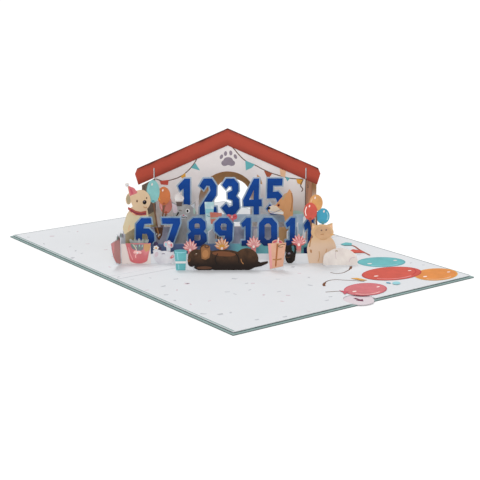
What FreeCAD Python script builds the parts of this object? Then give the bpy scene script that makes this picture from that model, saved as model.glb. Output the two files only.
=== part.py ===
"""Pop-up greeting card, opened flat.

A folded cover carries a white liner on strips of tape.  Card slices stand on
the liner in an open lattice: rows that face the reader, and cross slices that
the rows are slotted over.  A note card slides in a pocket under the near panel.

Frame: origin on the underside at the middle of the fold, X along the fold,
Y across it with the near panel at -Y, Z up.
"""
import FreeCAD, Part
import Sketcher
import math
import os

V = FreeCAD.Vector

SIZES = [
    # Folded sheets
    ("card_length", 178.0),
    ("panel_width", 127.0),
    ("cover_thick", 0.7),
    ("tape_thick", 0.5),
    ("liner_thick", 0.4),
    ("liner_inset", 1.5),
    ("crease_width", 0.8),
    ("crease_depth", 0.15),
    # Note card and its pocket
    ("note_length", 150.0),
    ("note_width", 64.0),
    ("note_thick", 0.4),
    ("note_at_edge", 3.0),
    ("note_clearance", 1.0),
    ("tab_radius", 8.25),
    ("tab_middle", 2.0),
    ("tab_from_edge", 5.0),
    ("notch_clearance", 0.9),
    ("cover_notch_radius", 6.0),
    ("tape_width", 6.0),
    # Lattice
    ("slice_thick", 0.4),
    ("slice_angle", 36.0),
    ("lattice_x", -66.3),
    ("lattice_y", 20.8),
    ("left_cross_at", 0.0),
    ("middle_cross_at", 50.0),
    ("right_cross_at", 99.0),
    ("slot_clearance", 0.15),
    ("rail_height", 6.0),
    ("mid_rail_height", 17.0),
    ("row_overhang", 3.0),
    # Rows, placed along the cross slices
    ("front_row_at", -16.0),
    ("second_row_at", 0.0),
    ("lower_row_at", 12.0),
    ("mid_row_at", 26.0),
    ("upper_row_at", 40.0),
    ("house_at", 58.8),
    ("back_wall_at", 75.0),
    # House
    ("roof_peak_at", 47.8),
    ("roof_peak_height", 75.0),
    ("roof_half_span", 60.5),
    ("roof_slope_angle", 24.0),
    ("roof_depth", 11.2),
    ("roof_corner", 3.0),
    ("roof_over_tab", 3.4),
    ("wall_behind_roof", 0.8),
    ("back_gable_drop", 4.0),
    ("arch_radius", 19.0),
    ("arch_top", 46.6),
    ("arch_sill", 6.0),
    ("back_arch_offset", 2.0),
    ("back_arch_radius", 12.0),
    ("back_arch_top", 38.5),
    # Numbers
    ("digit_thick", 0.5),
    ("halo_width", 0.9),
    ("upper_start", 20.5),
    ("upper_digit_width", 12.6),
    ("upper_digit_gap", 1.6),
    ("upper_base", 22.0),
    ("upper_top", 45.5),
    ("bar_height", 5.0),
    ("lower_start", 4.4),
    ("lower_digit_width", 12.6),
    ("lower_one_width", 9.6),
    ("lower_gap", 3.7),
    ("pair_gap", 1.7),
    ("lower_base", 8.2),
    ("last_digit_base", 2.6),
    ("lower_top", 26.0),
    ("plate_top", 9.5),
    # Figures: each one's height, its place along its row and its foot
    ("cream_dog_height", 41.0),
    ("cream_dog_at", 1.6),
    ("grey_cat_height", 33.0),
    ("grey_cat_at", 30.4),
    ("tan_dog_height", 41.0),
    ("tan_dog_at", 91.4),
    ("yellow_cat_height", 25.6),
    ("yellow_cat_at", 123.6),
    ("white_dog_height", 10.8),
    ("white_dog_at", 136.4),
    ("white_dog_row_at", -5.0),
    ("black_cat_height", 15.0),
    ("black_cat_at", 103.6),
    ("long_dog_height", 15.5),
    ("long_dog_at", 71.0),
    ("white_pup_height", 9.5),
    ("white_pup_at", 26.4),
    ("bucket_height", 12.6),
    ("bucket_at", 11.0),
    ("gift_height", 17.0),
    ("gift_at", 101.4),
    ("cup_height", 13.0),
    ("cup_at", 42.4),
    ("navy_gift_height", 14.0),
    ("navy_gift_at", 20.6),
    ("small_cup_height", 33.2),
    ("small_cup_at", 46.3),
    ("small_parcel_height", 26.7),
    ("small_parcel_at", 50.4),
    ("small_bow_height", 25.6),
    ("small_bow_at", 60.5),
    ("posy_height", 14.4),
    ("posy_at", 29.4),
    ("flower_radius", 4.8),
    ("flower_foot", 7.4),
    ("flower_rise", 1.0),
    ("first_flower_at", 42.8),
    ("flower_pitch", 19.5),
    ("far_flower_at", 109.6),
    # Balloons: the middle of each one and half its height
    ("balloon_radius", 4.1),
    ("balloon_red_at", 116.4),
    ("balloon_red_middle", 32.6),
    ("balloon_red_half", 5.4),
    ("balloon_orange_at", 119.8),
    ("balloon_orange_middle", 37.8),
    ("balloon_orange_half", 5.2),
    ("balloon_blue_at", 124.2),
    ("balloon_blue_middle", 29.4),
    ("balloon_blue_half", 4.9),
    ("balloon_teal_at", 11.0),
    ("balloon_teal_middle", 40.0),
    ("balloon_teal_half", 7.2),
    ("balloon_amber_at", 17.7),
    ("balloon_amber_middle", 37.0),
    ("balloon_amber_half", 5.8),
    ("balloon_coral_at", 18.8),
    ("balloon_coral_middle", 31.2),
    ("balloon_coral_half", 5.8),
    ("left_strings_at", 14.4),
    ("left_strings_foot", 8.0),
    ("right_strings_at", 122.0),
    ("right_strings_foot", 1.0),
    ("string_width", 1.0),
]

doc = FreeCAD.newDocument("pop_up_card")
sheet = doc.addObject("Spreadsheet::Sheet", "Sizes")
for row, (name, value) in enumerate(SIZES, start=1):
    sheet.set("A%d" % row, name)
    sheet.set("B%d" % row, str(value))
    sheet.setAlias("B%d" % row, name)
doc.recompute()


def size(name):
    """Read one driving dimension from the sheet."""
    return float(sheet.get(name))


# Directions of the lattice, and the height that it stands on
turn = math.radians(size("slice_angle"))
ALONG_ROW = V(math.cos(turn), -math.sin(turn), 0)
ALONG_CROSS = V(math.cos(turn), math.sin(turn), 0)
UP = V(0, 0, 1)
TO_FRONT = ALONG_ROW.cross(UP)
LINER_TOP = size("cover_thick") + size("tape_thick") + size("liner_thick")
LATTICE_CORNER = V(size("lattice_x"), size("lattice_y"), LINER_TOP)

# A slot holds a slice that passes through at twice the slice angle
SLICE = size("slice_thick")
LEAN = 1 / math.tan(2 * turn)
SLOT = (SLICE / math.sin(2 * turn)) + SLICE * LEAN + 2 * size("slot_clearance")

nodes = []


def place(x_direction, normal, base):
    """Placement that stands a flat drawing up: x along the slice, y up."""
    return FreeCAD.Placement(base, FreeCAD.Rotation(x_direction, UP, normal, "XYZ"))


def stand_in_row(body, row_at, layer=0.0):
    """Stand a piece in a row; layer counts thicknesses in front of the slice."""
    base = LATTICE_CORNER + ALONG_CROSS * row_at + TO_FRONT * (SLICE * (layer - 0.5))
    body.Placement = place(ALONG_ROW, TO_FRONT, base)


def stand_in_cross(body, cross_at):
    """Stand a piece along one of the cross slices."""
    normal = ALONG_CROSS.cross(UP)
    base = LATTICE_CORNER + ALONG_ROW * cross_at - normal * (SLICE / 2)
    body.Placement = place(ALONG_CROSS, normal, base)


def new_body(name):
    """Start one piece, whose Label names its file."""
    body = doc.addObject("PartDesign::Body", name)
    body.Label = name
    nodes.append(body)
    return body


def new_sketch(body):
    """Sketch on the piece's own XY plane."""
    sketch = body.newObject("Sketcher::SketchObject", body.Name + "_sketch")
    plane = [f for f in body.Origin.OriginFeatures if f.Role == "XY_Plane"][0]
    sketch.AttachmentSupport = [(plane, "")]
    sketch.MapMode = "FlatFace"
    return sketch


def draw_polygon(sketch, points):
    """Closed outline of straight edges, joined end to end."""
    corners = [V(x, y, 0) for x, y in points]
    ends = zip(corners, corners[1:] + corners[:1])
    first = sketch.addGeometry([Part.LineSegment(a, b) for a, b in ends])[0]
    count = len(corners)
    for i in range(count):
        following = first + (i + 1) % count
        sketch.addConstraint(Sketcher.Constraint("Coincident", first + i, 2, following, 1))


def draw_ellipse(sketch, middle, half_x, half_y, tilt=0.0):
    """Ellipse by its half sizes; tilt in degrees turns it anticlockwise."""
    centre = V(middle[0], middle[1], 0)
    along = V(math.cos(math.radians(tilt)), math.sin(math.radians(tilt)), 0)
    across = V(-along.y, along.x, 0)
    if abs(half_x - half_y) < 1e-6:
        sketch.addGeometry(Part.Circle(centre, V(0, 0, 1), half_x))
    elif half_x > half_y:
        sketch.addGeometry(Part.Ellipse(centre + along * half_x, centre + across * half_y, centre))
    else:
        sketch.addGeometry(Part.Ellipse(centre + across * half_y, centre - along * half_x, centre))


def pad(body, sketch, thickness="slice_thick"):
    """Give a sketch the thickness of its sheet."""
    feature = body.newObject("PartDesign::Pad", body.Name + "_pad")
    feature.Profile = sketch
    feature.setExpression("Length", "Sizes." + thickness)
    sketch.Visibility = False
    return feature


def pocket(body, sketch):
    """Cut a sketch right through its sheet."""
    feature = body.newObject("PartDesign::Pocket", body.Name + "_cut")
    feature.Profile = sketch
    feature.Type = "ThroughAll"
    feature.Midplane = True
    return feature


def add_polygon(body, points, thickness="slice_thick"):
    sketch = new_sketch(body)
    draw_polygon(sketch, points)
    pad(body, sketch, thickness)


def add_ellipse(body, middle, half_x, half_y, tilt=0.0, thickness="slice_thick"):
    sketch = new_sketch(body)
    draw_ellipse(sketch, middle, half_x, half_y, tilt)
    pad(body, sketch, thickness)


def cut_polygon(body, points):
    sketch = new_sketch(body)
    draw_polygon(sketch, points)
    pocket(body, sketch)


def cut_ellipse(body, middle, half_x, half_y):
    sketch = new_sketch(body)
    draw_ellipse(sketch, middle, half_x, half_y)
    pocket(body, sketch)


def rectangle(x0, y0, x1, y1):
    return [(x0, y0), (x1, y0), (x1, y1), (x0, y1)]


# Folded sheets and the pocket

near_edge = -size("panel_width")
liner_near = near_edge + size("liner_inset")
tab_y = near_edge + size("tab_from_edge")
note_near = near_edge + size("note_at_edge")
note_far = note_near + size("note_width")
note_x0 = size("tab_middle") - size("note_length") / 2
note_x1 = size("tab_middle") + size("note_length") / 2
liner_half = size("card_length") / 2 - size("liner_inset")
liner_far = size("panel_width") - size("liner_inset")


def make_cover():
    """Folded cover with a thumb notch under the tab."""
    cover = new_body("cover")
    half = size("card_length") / 2
    add_polygon(cover, rectangle(-half, near_edge, half, size("panel_width")), "cover_thick")
    notch = size("cover_notch_radius")
    cut_ellipse(cover, (size("tab_middle"), near_edge), notch, notch)
    return cover


def make_tape(name, x0, y0, x1, y1):
    """One strip of double-sided tape between cover and liner."""
    tape = new_body(name)
    add_polygon(tape, rectangle(x0, y0, x1, y1), "tape_thick")
    tape.Placement.Base = V(0, 0, size("cover_thick"))
    return tape


def make_tapes():
    """Tape closes the pocket on three sides and fills the far panel."""
    gap = size("note_clearance")
    mid_near = note_far + gap
    crease = size("crease_width") / 2
    make_tape("tape_far", -liner_half, crease, liner_half, liner_far)
    make_tape("tape_middle", -liner_half, mid_near, liner_half, -crease)
    make_tape("tape_left", note_x0 - gap - size("tape_width"), liner_near, note_x0 - gap, mid_near)
    make_tape("tape_right", note_x1 + gap, liner_near, note_x1 + gap + size("tape_width"), mid_near)


def make_liner():
    """White inner sheet with its crease and a round notch for the tab."""
    liner = new_body("liner")
    add_polygon(liner, rectangle(-liner_half, liner_near, liner_half, liner_far), "liner_thick")
    notch = size("tab_radius") + size("notch_clearance")
    cut_ellipse(liner, (size("tab_middle"), tab_y), notch, notch)
    crease = new_sketch(liner)
    half = size("crease_width") / 2
    draw_polygon(crease, rectangle(-liner_half, -half, liner_half, half))
    crease.AttachmentOffset = FreeCAD.Placement(V(0, 0, size("liner_thick")), FreeCAD.Rotation())
    groove = liner.newObject("PartDesign::Pocket", "liner_crease")
    groove.Profile = crease
    groove.setExpression("Length", "Sizes.crease_depth")
    liner.Placement.Base = V(0, 0, LINER_TOP - size("liner_thick"))
    return liner


def make_note_card():
    """Writing card that slides in the pocket and is pulled by a round tab."""
    note = new_body("note_card")
    add_polygon(note, rectangle(note_x0, note_near, note_x1, note_far), "note_thick")
    radius = size("tab_radius")
    add_ellipse(note, (size("tab_middle"), tab_y), radius, radius, 0, "note_thick")
    note.Placement.Base = V(0, 0, size("cover_thick"))
    return note


# Lattice: how high each cross slice stands beside each row

front_row = size("front_row_at")
second_row = size("second_row_at")
lower_row = size("lower_row_at")
mid_row = size("mid_row_at")
upper_row = size("upper_row_at")
house_row = size("house_at")
back_row = size("back_wall_at")
left_cross = size("left_cross_at")
middle_cross = size("middle_cross_at")
right_cross = size("right_cross_at")
RAIL = size("rail_height")
MID = size("mid_rail_height")
STEP = size("row_overhang")
SLOPE = math.tan(math.radians(size("roof_slope_angle")))


def roof_edge(along):
    """Height of the roof's upper edge at one place along its row."""
    return size("roof_peak_height") - SLOPE * abs(along - size("roof_peak_at"))


# Side walls end behind the roof band, and a tab of each passes into it
EAVE = min(roof_edge(left_cross), roof_edge(right_cross))
TAB = EAVE - size("roof_over_tab")
WALL = EAVE - size("roof_depth") + size("wall_behind_roof")


def slot_from_below(body, cross_at, top, layer=0.0):
    """Open slot in a row, from its foot up, where a cross slice passes."""
    middle = cross_at - LEAN * SLICE * layer
    half = SLOT / 2
    reach = 1.0
    cut_polygon(body, rectangle(middle - half, -reach, middle + half, top))


def slot_from_above(body, row_at, bottom, top):
    """Open slot in a cross slice, from its top down, where a row sits."""
    half = SLOT / 2
    reach = 1.0
    cut_polygon(body, rectangle(row_at - half, bottom, row_at + half, top + reach))


def make_cross(name, cross_at, profile, laps):
    """Cross slice with its stepped top edge and the slots for its rows."""
    cross = new_body(name)
    add_polygon(cross, profile)
    for row_at, lap, top in laps:
        slot_from_above(cross, row_at, lap - size("slot_clearance"), top)
    stand_in_cross(cross, cross_at)
    return cross


def make_crosses():
    """Left and right slices are the house's side walls; the middle one is low."""
    back_end = back_row + STEP
    tab_front = house_row - 2 * SLICE
    wall_end = [(back_end, 0), (back_end, WALL), (house_row + STEP, WALL), (house_row + STEP, TAB),
                (tab_front, TAB)]
    bucket = size("bucket_height")
    pail = [(-0.2 * bucket, 0), (-0.62 * bucket, 0.18 * bucket), (-0.93 * bucket, 0.56 * bucket),
            (-1.2 * bucket, 1.3 * bucket)]
    leaf_top = MID + STEP
    leaf_dip = MID + STEP / 3
    leaves = [(2 * STEP, MID), (1.5 * STEP, leaf_top), (STEP, leaf_dip), (0, leaf_top), (-STEP, leaf_dip),
              (-1.5 * STEP, leaf_top), (-2 * STEP, MID)]
    left_step = upper_row - STEP
    left = pail[::-1] + wall_end + [(tab_front, WALL), (left_step, WALL), (left_step, MID)] + leaves
    make_cross("left_cross", left_cross, left,
               [(second_row, RAIL / 2, leaf_top), (mid_row, MID / 2, MID), (back_row, WALL / 2, WALL)])
    right = [(front_row, 0)] + wall_end + [(tab_front, MID), (lower_row, MID), (lower_row, RAIL),
                                           (front_row, RAIL)]
    make_cross("right_cross", right_cross, right,
               [(front_row, RAIL / 2, RAIL), (second_row, RAIL / 2, RAIL), (lower_row, RAIL / 2, MID),
                (mid_row, MID / 2, MID), (upper_row, MID / 2, MID), (back_row, WALL / 2, WALL)])
    end = upper_row + STEP
    middle = [(front_row, 0), (end, 0), (end, MID), (lower_row, MID), (lower_row, RAIL), (front_row, RAIL)]
    make_cross("middle_cross", middle_cross, middle,
               [(front_row, RAIL / 2, RAIL), (second_row, RAIL / 2, RAIL), (lower_row, RAIL / 2, MID),
                (mid_row, MID / 2, MID), (upper_row, MID / 2, MID)])


def make_rail(name, row_at, start, end, height, crossings, lap):
    """Low strip that carries a row of figures."""
    rail = new_body(name)
    add_polygon(rail, rectangle(start, 0, end, height))
    for cross_at in crossings:
        slot_from_below(rail, cross_at, lap + size("slot_clearance"))
    stand_in_row(rail, row_at)
    return rail


def make_rails():
    ends = [middle_cross, right_cross]
    every = [left_cross, middle_cross, right_cross]
    right_end = right_cross + STEP
    front_start = size("cup_at") - STEP
    front_end = size("gift_at") + STEP
    make_rail("front_rail", front_row, front_start, front_end, RAIL, ends, RAIL / 2)
    make_rail("second_rail", second_row, left_cross - STEP, size("yellow_cat_at") + STEP, RAIL, every, RAIL / 2)
    make_rail("mid_rail", mid_row, left_cross - STEP, right_end, MID, every, MID / 2)


# House


def roof_side(side):
    """Eave on one side, from the top edge round the cut corner to the foot."""
    peak_x = size("roof_peak_at")
    corner = size("roof_corner")
    tip = peak_x + side * size("roof_half_span")
    top = tip - side * corner / 2
    foot = tip - side * corner * 0.7
    return [(top, roof_edge(top)), (tip, roof_edge(tip) - corner), (foot, roof_edge(foot) - size("roof_depth"))]


def roof_outline():
    """Gable roof band with cut-back eaves, as seen from the front."""
    peak_x = size("roof_peak_at")
    peak_z = size("roof_peak_height")
    return roof_side(-1) + [(peak_x, peak_z - size("roof_depth"))] + roof_side(1)[::-1] + [(peak_x, peak_z)]


def cut_roof_slots(body, layer=0.0):
    """The roof's ends sit over the side walls in slots open at the foot."""
    for cross_at in (left_cross, right_cross):
        slot_from_below(body, cross_at, TAB + size("slot_clearance"), layer)


def cut_arch(body, middle_x, radius, top, sill):
    """Doorway with straight sides and a round head."""
    spring = top - radius
    sketch = new_sketch(body)
    left = V(middle_x - radius, spring, 0)
    right = V(middle_x + radius, spring, 0)
    sketch.addGeometry([
        Part.LineSegment(left, V(left.x, sill, 0)),
        Part.LineSegment(V(left.x, sill, 0), V(right.x, sill, 0)),
        Part.LineSegment(V(right.x, sill, 0), right),
        Part.Arc(right, V(middle_x, top, 0), left),
    ])
    pocket(body, sketch)


def make_house():
    """White gable wall, red roof band on it and a wooden back wall."""
    roof = roof_outline()
    peak_x = size("roof_peak_at")
    lap = size("roof_depth") / 2
    wall_left = left_cross + SLOT / 2
    wall_right = right_cross - SLOT / 2
    wall = new_body("house_front")
    add_polygon(wall, [
        (wall_left, 0),
        (wall_right, 0),
        (wall_right, roof_edge(wall_right) - lap),
        (peak_x, size("roof_peak_height") - lap),
        (wall_left, roof_edge(wall_left) - lap),
    ])
    add_polygon(wall, roof)
    cut_roof_slots(wall)
    cut_arch(wall, peak_x, size("arch_radius"), size("arch_top"), size("arch_sill"))
    stand_in_row(wall, house_row)
    band = new_body("house_roof")
    add_polygon(band, roof)
    cut_roof_slots(band, 1)
    stand_in_row(band, house_row, 1)
    back = new_body("house_back")
    gable = size("roof_peak_height") - size("roof_depth") - size("back_gable_drop")
    add_polygon(back, [
        (left_cross - STEP, 0),
        (right_cross + STEP, 0),
        (right_cross + STEP, WALL),
        (peak_x, gable),
        (left_cross - STEP, WALL),
    ])
    for cross_at in (left_cross, right_cross):
        slot_from_below(back, cross_at, WALL / 2 + size("slot_clearance"))
    back_arch_x = peak_x - size("back_arch_offset")
    cut_arch(back, back_arch_x, size("back_arch_radius"), size("back_arch_top"), size("arch_sill"))
    stand_in_row(back, back_row)


# Numbers, each drawn on a grid ten wide and fourteen high

GRID_WIDTH = 10.0
GRID_HEIGHT = 14.0
DIGITS = {
    "0": ([(3, 0), (7, 0), (9.6, 2.8), (9.5, 11.2), (7, 14), (3, 14), (0.6, 11.4), (0.4, 2.8)],
          [[(3.4, 4), (4.4, 2.9), (5.7, 2.9), (6.6, 4), (6.5, 10.2), (5.6, 11.2), (4.3, 11.2), (3.4, 10.2)]]),
    "1": ([(1.2, 0), (8.8, 0), (8.6, 2.7), (7.1, 2.7), (7.2, 14), (4.4, 14), (1, 11.2), (2, 9.2),
           (3.8, 10.2), (3.8, 2.7), (1.3, 2.6)], []),
    "2": ([(0.6, 0), (9.5, 0.3), (9.2, 3), (4.9, 2.9), (9.2, 7.6), (9.4, 11.2), (7, 14), (2.8, 14),
           (0.6, 11.2), (2.8, 9.6), (4.2, 11.3), (5.8, 11.2), (6.2, 9.3), (0.7, 2.8)], []),
    "3": ([(0.6, 2.6), (3.1, 0), (7.2, 0), (9.7, 2.6), (9.4, 6), (7.9, 7.3), (9.3, 9.2), (9.1, 12),
           (7, 14), (2.9, 14), (0.8, 11.6), (2.8, 9.9), (4.2, 11.2), (5.8, 11.1), (6, 9.4), (3.6, 8.5),
           (3.7, 6.2), (6.2, 5.6), (6.3, 3.4), (4.2, 2.8), (2.9, 4.3)], []),
    "4": ([(5.6, 0), (8.4, 0), (8.3, 3.2), (9.8, 3.3), (9.7, 5.9), (8.2, 5.9), (8.4, 14), (5.7, 14),
           (0.2, 5.6), (0.4, 3.2), (5.6, 3.2)], [[(3.4, 5.8), (5.6, 5.8), (5.7, 9.6)]]),
    "5": ([(0.7, 2.2), (3, 0), (7.2, 0), (9.6, 2.9), (9.4, 6.8), (6.9, 9), (4.1, 8.8), (4.2, 11.3),
           (8.8, 11.3), (9, 14), (1.3, 14), (1.1, 6.3), (5.6, 6.4), (6.5, 4.4), (5.4, 2.8), (4, 2.7),
           (2.6, 4.1)], []),
    "6": ([(3, 0), (7, 0), (9.6, 2.6), (9.4, 6.4), (7, 8.8), (4.2, 8.8), (4.8, 11.2), (8.4, 11.4),
           (8, 14), (3.4, 14), (0.7, 11), (0.4, 3)],
          [[(3.5, 3.2), (4.3, 2.7), (6, 2.8), (6.5, 4.2), (5.9, 6.1), (3.6, 6.2)]]),
    "7": ([(2.2, 0), (5.3, 0), (9.5, 11.4), (9.4, 14), (0.5, 14), (0.7, 11.2), (6, 11.2)], []),
    "8": ([(3, 0), (7, 0), (9.7, 2.4), (9.5, 5.8), (8.1, 7.3), (9.2, 9), (9, 12), (6.9, 14), (3, 14),
           (0.8, 12), (0.7, 9), (1.9, 7.3), (0.3, 5.8), (0.5, 2.4)],
          [[(3.4, 3.3), (4.2, 2.7), (5.9, 2.7), (6.6, 3.5), (6.4, 5.6), (3.6, 5.6)],
           [(3.7, 8.8), (6.2, 8.8), (6.2, 10.8), (5.6, 11.3), (4.2, 11.3), (3.7, 10.8)]]),
}


def turned_over(outline):
    """Half turn about the middle of the grid, which makes a six a nine."""
    return [(GRID_WIDTH - x, GRID_HEIGHT - y) for x, y in outline]


def digit_outlines(digit):
    """Outer outline and holes of one digit on the grid."""
    if digit == "9":
        outer, holes = DIGITS["6"]
        return turned_over(outer), [turned_over(hole) for hole in holes]
    return DIGITS[digit]


def fit_to(outline, x0, width, base, height):
    """Scale an outline from the grid to its place in the row."""
    return [(x0 + x * width / GRID_WIDTH, base + y * height / GRID_HEIGHT) for x, y in outline]


def make_digit(name, digit, box, row_at):
    """One die-cut digit, glued to the front of its backing."""
    outer, holes = digit_outlines(digit)
    body = new_body(name)
    sketch = new_sketch(body)
    for outline in [outer] + holes:
        draw_polygon(sketch, fit_to(outline, *box))
    pad(body, sketch, "digit_thick")
    stand_in_row(body, row_at, 1)


def flat_face(points):
    """Face inside a closed outline."""
    corners = [V(x, y, 0) for x, y in points]
    return Part.Face(Part.makePolygon(corners + corners[:1]))


def halo(digit, box):
    """Backing behind one digit: its outline grown by the halo, holes kept."""
    outer, holes = digit_outlines(digit)
    face = flat_face(fit_to(outer, *box)).makeOffset2D(size("halo_width"), 2)
    for hole in holes:
        face = face.cut(flat_face(fit_to(hole, *box)))
    return face.extrude(V(0, 0, SLICE))


def make_backing(name, row_at, outline, digits, crossings, lap):
    """Slice that carries a row of digits: its strip and a halo behind each."""
    backing = flat_face(outline).extrude(V(0, 0, SLICE))
    for digit, box in digits:
        backing = backing.fuse(halo(digit, box))
    for cross_at in crossings:
        slot = Part.makeBox(SLOT, lap + size("slot_clearance"), 3 * SLICE, V(cross_at - SLOT / 2, 0, -SLICE))
        backing = backing.cut(slot)
    feature = doc.addObject("Part::Feature", name)
    feature.Label = name
    feature.Shape = backing.removeSplitter()
    nodes.append(feature)
    stand_in_row(feature, row_at)


def upper_digits():
    """The upper row: five digits of one width."""
    width = size("upper_digit_width")
    pitch = width + size("upper_digit_gap")
    height = size("upper_top") - size("upper_base")
    return [(digit, (size("upper_start") + i * pitch, width, size("upper_base"), height))
            for i, digit in enumerate("12345")]


def lower_digits():
    """The lower row: pairs stand close, and the last digit is the tallest."""
    numbers = ["6", "7", "8", "9", "10", "11"]
    count = len("".join(numbers))
    x = size("lower_start")
    placed = []
    for number in numbers:
        for digit in number:
            width = size("lower_one_width") if digit == "1" else size("lower_digit_width")
            last = len(placed) == count - 1
            base = size("last_digit_base") if last else size("lower_base")
            placed.append((digit, (x, width, base, size("lower_top") - base)))
            x += width + size("pair_gap")
        x += size("lower_gap") - size("pair_gap")
    return placed


def make_numbers():
    """The upper row stands on a bar with two legs, the lower row on a low strip."""
    upper = upper_digits()
    lower = lower_digits()
    leg = 2 * STEP
    bar_start = size("upper_start")
    bar_end = right_cross + STEP
    bar_top = size("upper_base")
    bar_foot = bar_top - size("bar_height")
    bar = [(bar_start, bar_foot), (middle_cross - leg, bar_foot), (middle_cross - leg, 0),
           (middle_cross + leg, 0), (middle_cross + leg, bar_foot), (right_cross - leg, bar_foot),
           (right_cross - leg, 0), (bar_end, 0), (bar_end, bar_top), (bar_start, bar_top)]
    make_backing("upper_backing", upper_row, bar, upper, [middle_cross, right_cross], MID / 2)
    last = lower[-1][1]
    strip = rectangle(size("lower_start"), 0, last[0] + last[1], size("plate_top"))
    make_backing("lower_backing", lower_row, strip, lower, [middle_cross, right_cross], RAIL / 2)
    for i, (digit, box) in enumerate(upper, start=1):
        make_digit("upper_digit_%d" % i, digit, box, upper_row)
    for i, (digit, box) in enumerate(lower, start=1):
        make_digit("lower_digit_%d" % i, digit, box, lower_row)


# Figures, drawn in shares of their height from the middle of their foot


class Figure:
    """One die-cut figure built up from simple overlapping outlines."""

    def __init__(self, name, height, at):
        self.body = new_body(name)
        self.scale = size(height)
        self.at = size(at)

    def point(self, x, y):
        return (self.at + x * self.scale, y * self.scale)

    def oval(self, x, y, half_x, half_y, tilt=0.0):
        add_ellipse(self.body, self.point(x, y), half_x * self.scale, half_y * self.scale, tilt)
        return self

    def shape(self, *points):
        add_polygon(self.body, [self.point(x, y) for x, y in points])
        return self

    def trim_foot(self):
        """Cut the figure level where it stands on the liner."""
        reach = 2 * self.scale
        cut_polygon(self.body, rectangle(self.at - reach, -reach, self.at + reach, 0))
        return self

    def stand(self, row_at, layer=1.0):
        stand_in_row(self.body, row_at, layer)
        return self.body


def make_cream_dog():
    """Sitting dog with a party hat, in front of the middle rail."""
    dog = Figure("cream_dog", "cream_dog_height", "cream_dog_at")
    dog.shape((-0.26, 0), (0.2, 0), (0.18, 0.45), (0.13, 0.74), (-0.1, 0.74), (-0.18, 0.62), (-0.245, 0.42))
    dog.oval(0.04, 0.837, 0.15, 0.166)
    dog.oval(-0.142, 0.862, 0.048, 0.09, -8)
    dog.shape((-0.13, 0.9), (0.0, 0.97), (-0.165, 1.08))
    dog.oval(-0.165, 1.08, 0.03, 0.03)
    dog.trim_foot()
    slot_from_below(dog.body, left_cross, MID + size("slot_clearance"), 1)
    dog.stand(mid_row)


def make_grey_cat():
    """Grey cat looking over the lower numbers, with a small cake as a hat."""
    cat = Figure("grey_cat", "grey_cat_height", "grey_cat_at")
    cat.shape((-0.17, 0.1), (0.2, 0.1), (0.15, 0.75), (-0.14, 0.75))
    cat.oval(0.01, 0.77, 0.225, 0.17)
    cat.oval(0.01, 0.84, 0.19, 0.12)
    cat.shape((-0.21, 0.8), (-0.08, 0.93), (-0.24, 1.02))
    cat.shape((0.08, 0.93), (0.21, 0.82), (0.22, 1.02))
    cat.stand(mid_row)
    cake = Figure("cake_hat", "grey_cat_height", "grey_cat_at")
    cake.shape((-0.135, 0.93), (-0.045, 0.93), (-0.015, 1.06), (-0.165, 1.06))
    cake.oval(-0.09, 1.08, 0.09, 0.07)
    cake.oval(-0.12, 1.12, 0.05, 0.05)
    cake.oval(-0.09, 1.17, 0.024, 0.024)
    cake.stand(mid_row, 2)


def make_tan_dog():
    """Standing dog that looks to the left, with its ears laid back."""
    dog = Figure("tan_dog", "tan_dog_height", "tan_dog_at")
    dog.shape((-0.193, 0.698), (-0.166, 0.634), (0.015, 0.607), (0.049, 0.593), (0.085, 0.42), (0.1, 0.1),
              (0.165, 0.1), (0.166, 0.42), (0.188, 0.632), (0.182, 0.86), (0.16, 0.97), (0.125, 1.01),
              (0.095, 0.95), (0.03, 0.9), (-0.024, 0.839), (-0.076, 0.768))
    dog.oval(-0.15, 0.672, 0.05, 0.04, -10)
    dog.oval(0.1, 0.85, 0.085, 0.1)
    dog.stand(mid_row)


def make_yellow_cat():
    """Round sitting cat at the end of the second rail."""
    cat = Figure("yellow_cat", "yellow_cat_height", "yellow_cat_at")
    cat.oval(0, 0.34, 0.35, 0.38)
    cat.shape((-0.3, 0), (0.3, 0), (0.34, 0.22), (-0.34, 0.22))
    cat.oval(0.01, 0.765, 0.27, 0.19)
    cat.oval(0.0, 0.83, 0.22, 0.13)
    cat.shape((-0.25, 0.78), (-0.1, 0.93), (-0.24, 1.0))
    cat.shape((0.1, 0.94), (0.26, 0.8), (0.25, 1.0))
    cat.trim_foot()
    cat.stand(second_row)


def make_white_dog():
    """White dog lying curled up at the right-hand end."""
    dog = Figure("white_dog", "white_dog_height", "white_dog_at")
    dog.oval(0, 0.2, 0.98, 0.8)
    dog.oval(-0.62, 0.42, 0.34, 0.36)
    dog.trim_foot()
    dog.stand(size("white_dog_row_at"), 0.5)


def make_black_cat():
    """Small black cat with its tail up."""
    cat = Figure("black_cat", "black_cat_height", "black_cat_at")
    cat.oval(0.04, 0.28, 0.19, 0.3)
    cat.oval(-0.05, 0.6, 0.17, 0.15)
    cat.shape((-0.2, 0.66), (-0.07, 0.73), (-0.19, 0.86))
    cat.shape((-0.02, 0.74), (0.11, 0.66), (0.1, 0.85))
    cat.shape((0.16, 0.06), (0.24, 0.12), (0.3, 0.6), (0.25, 0.78), (0.2, 0.76), (0.22, 0.58))
    cat.trim_foot()
    cat.stand(second_row)


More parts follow.
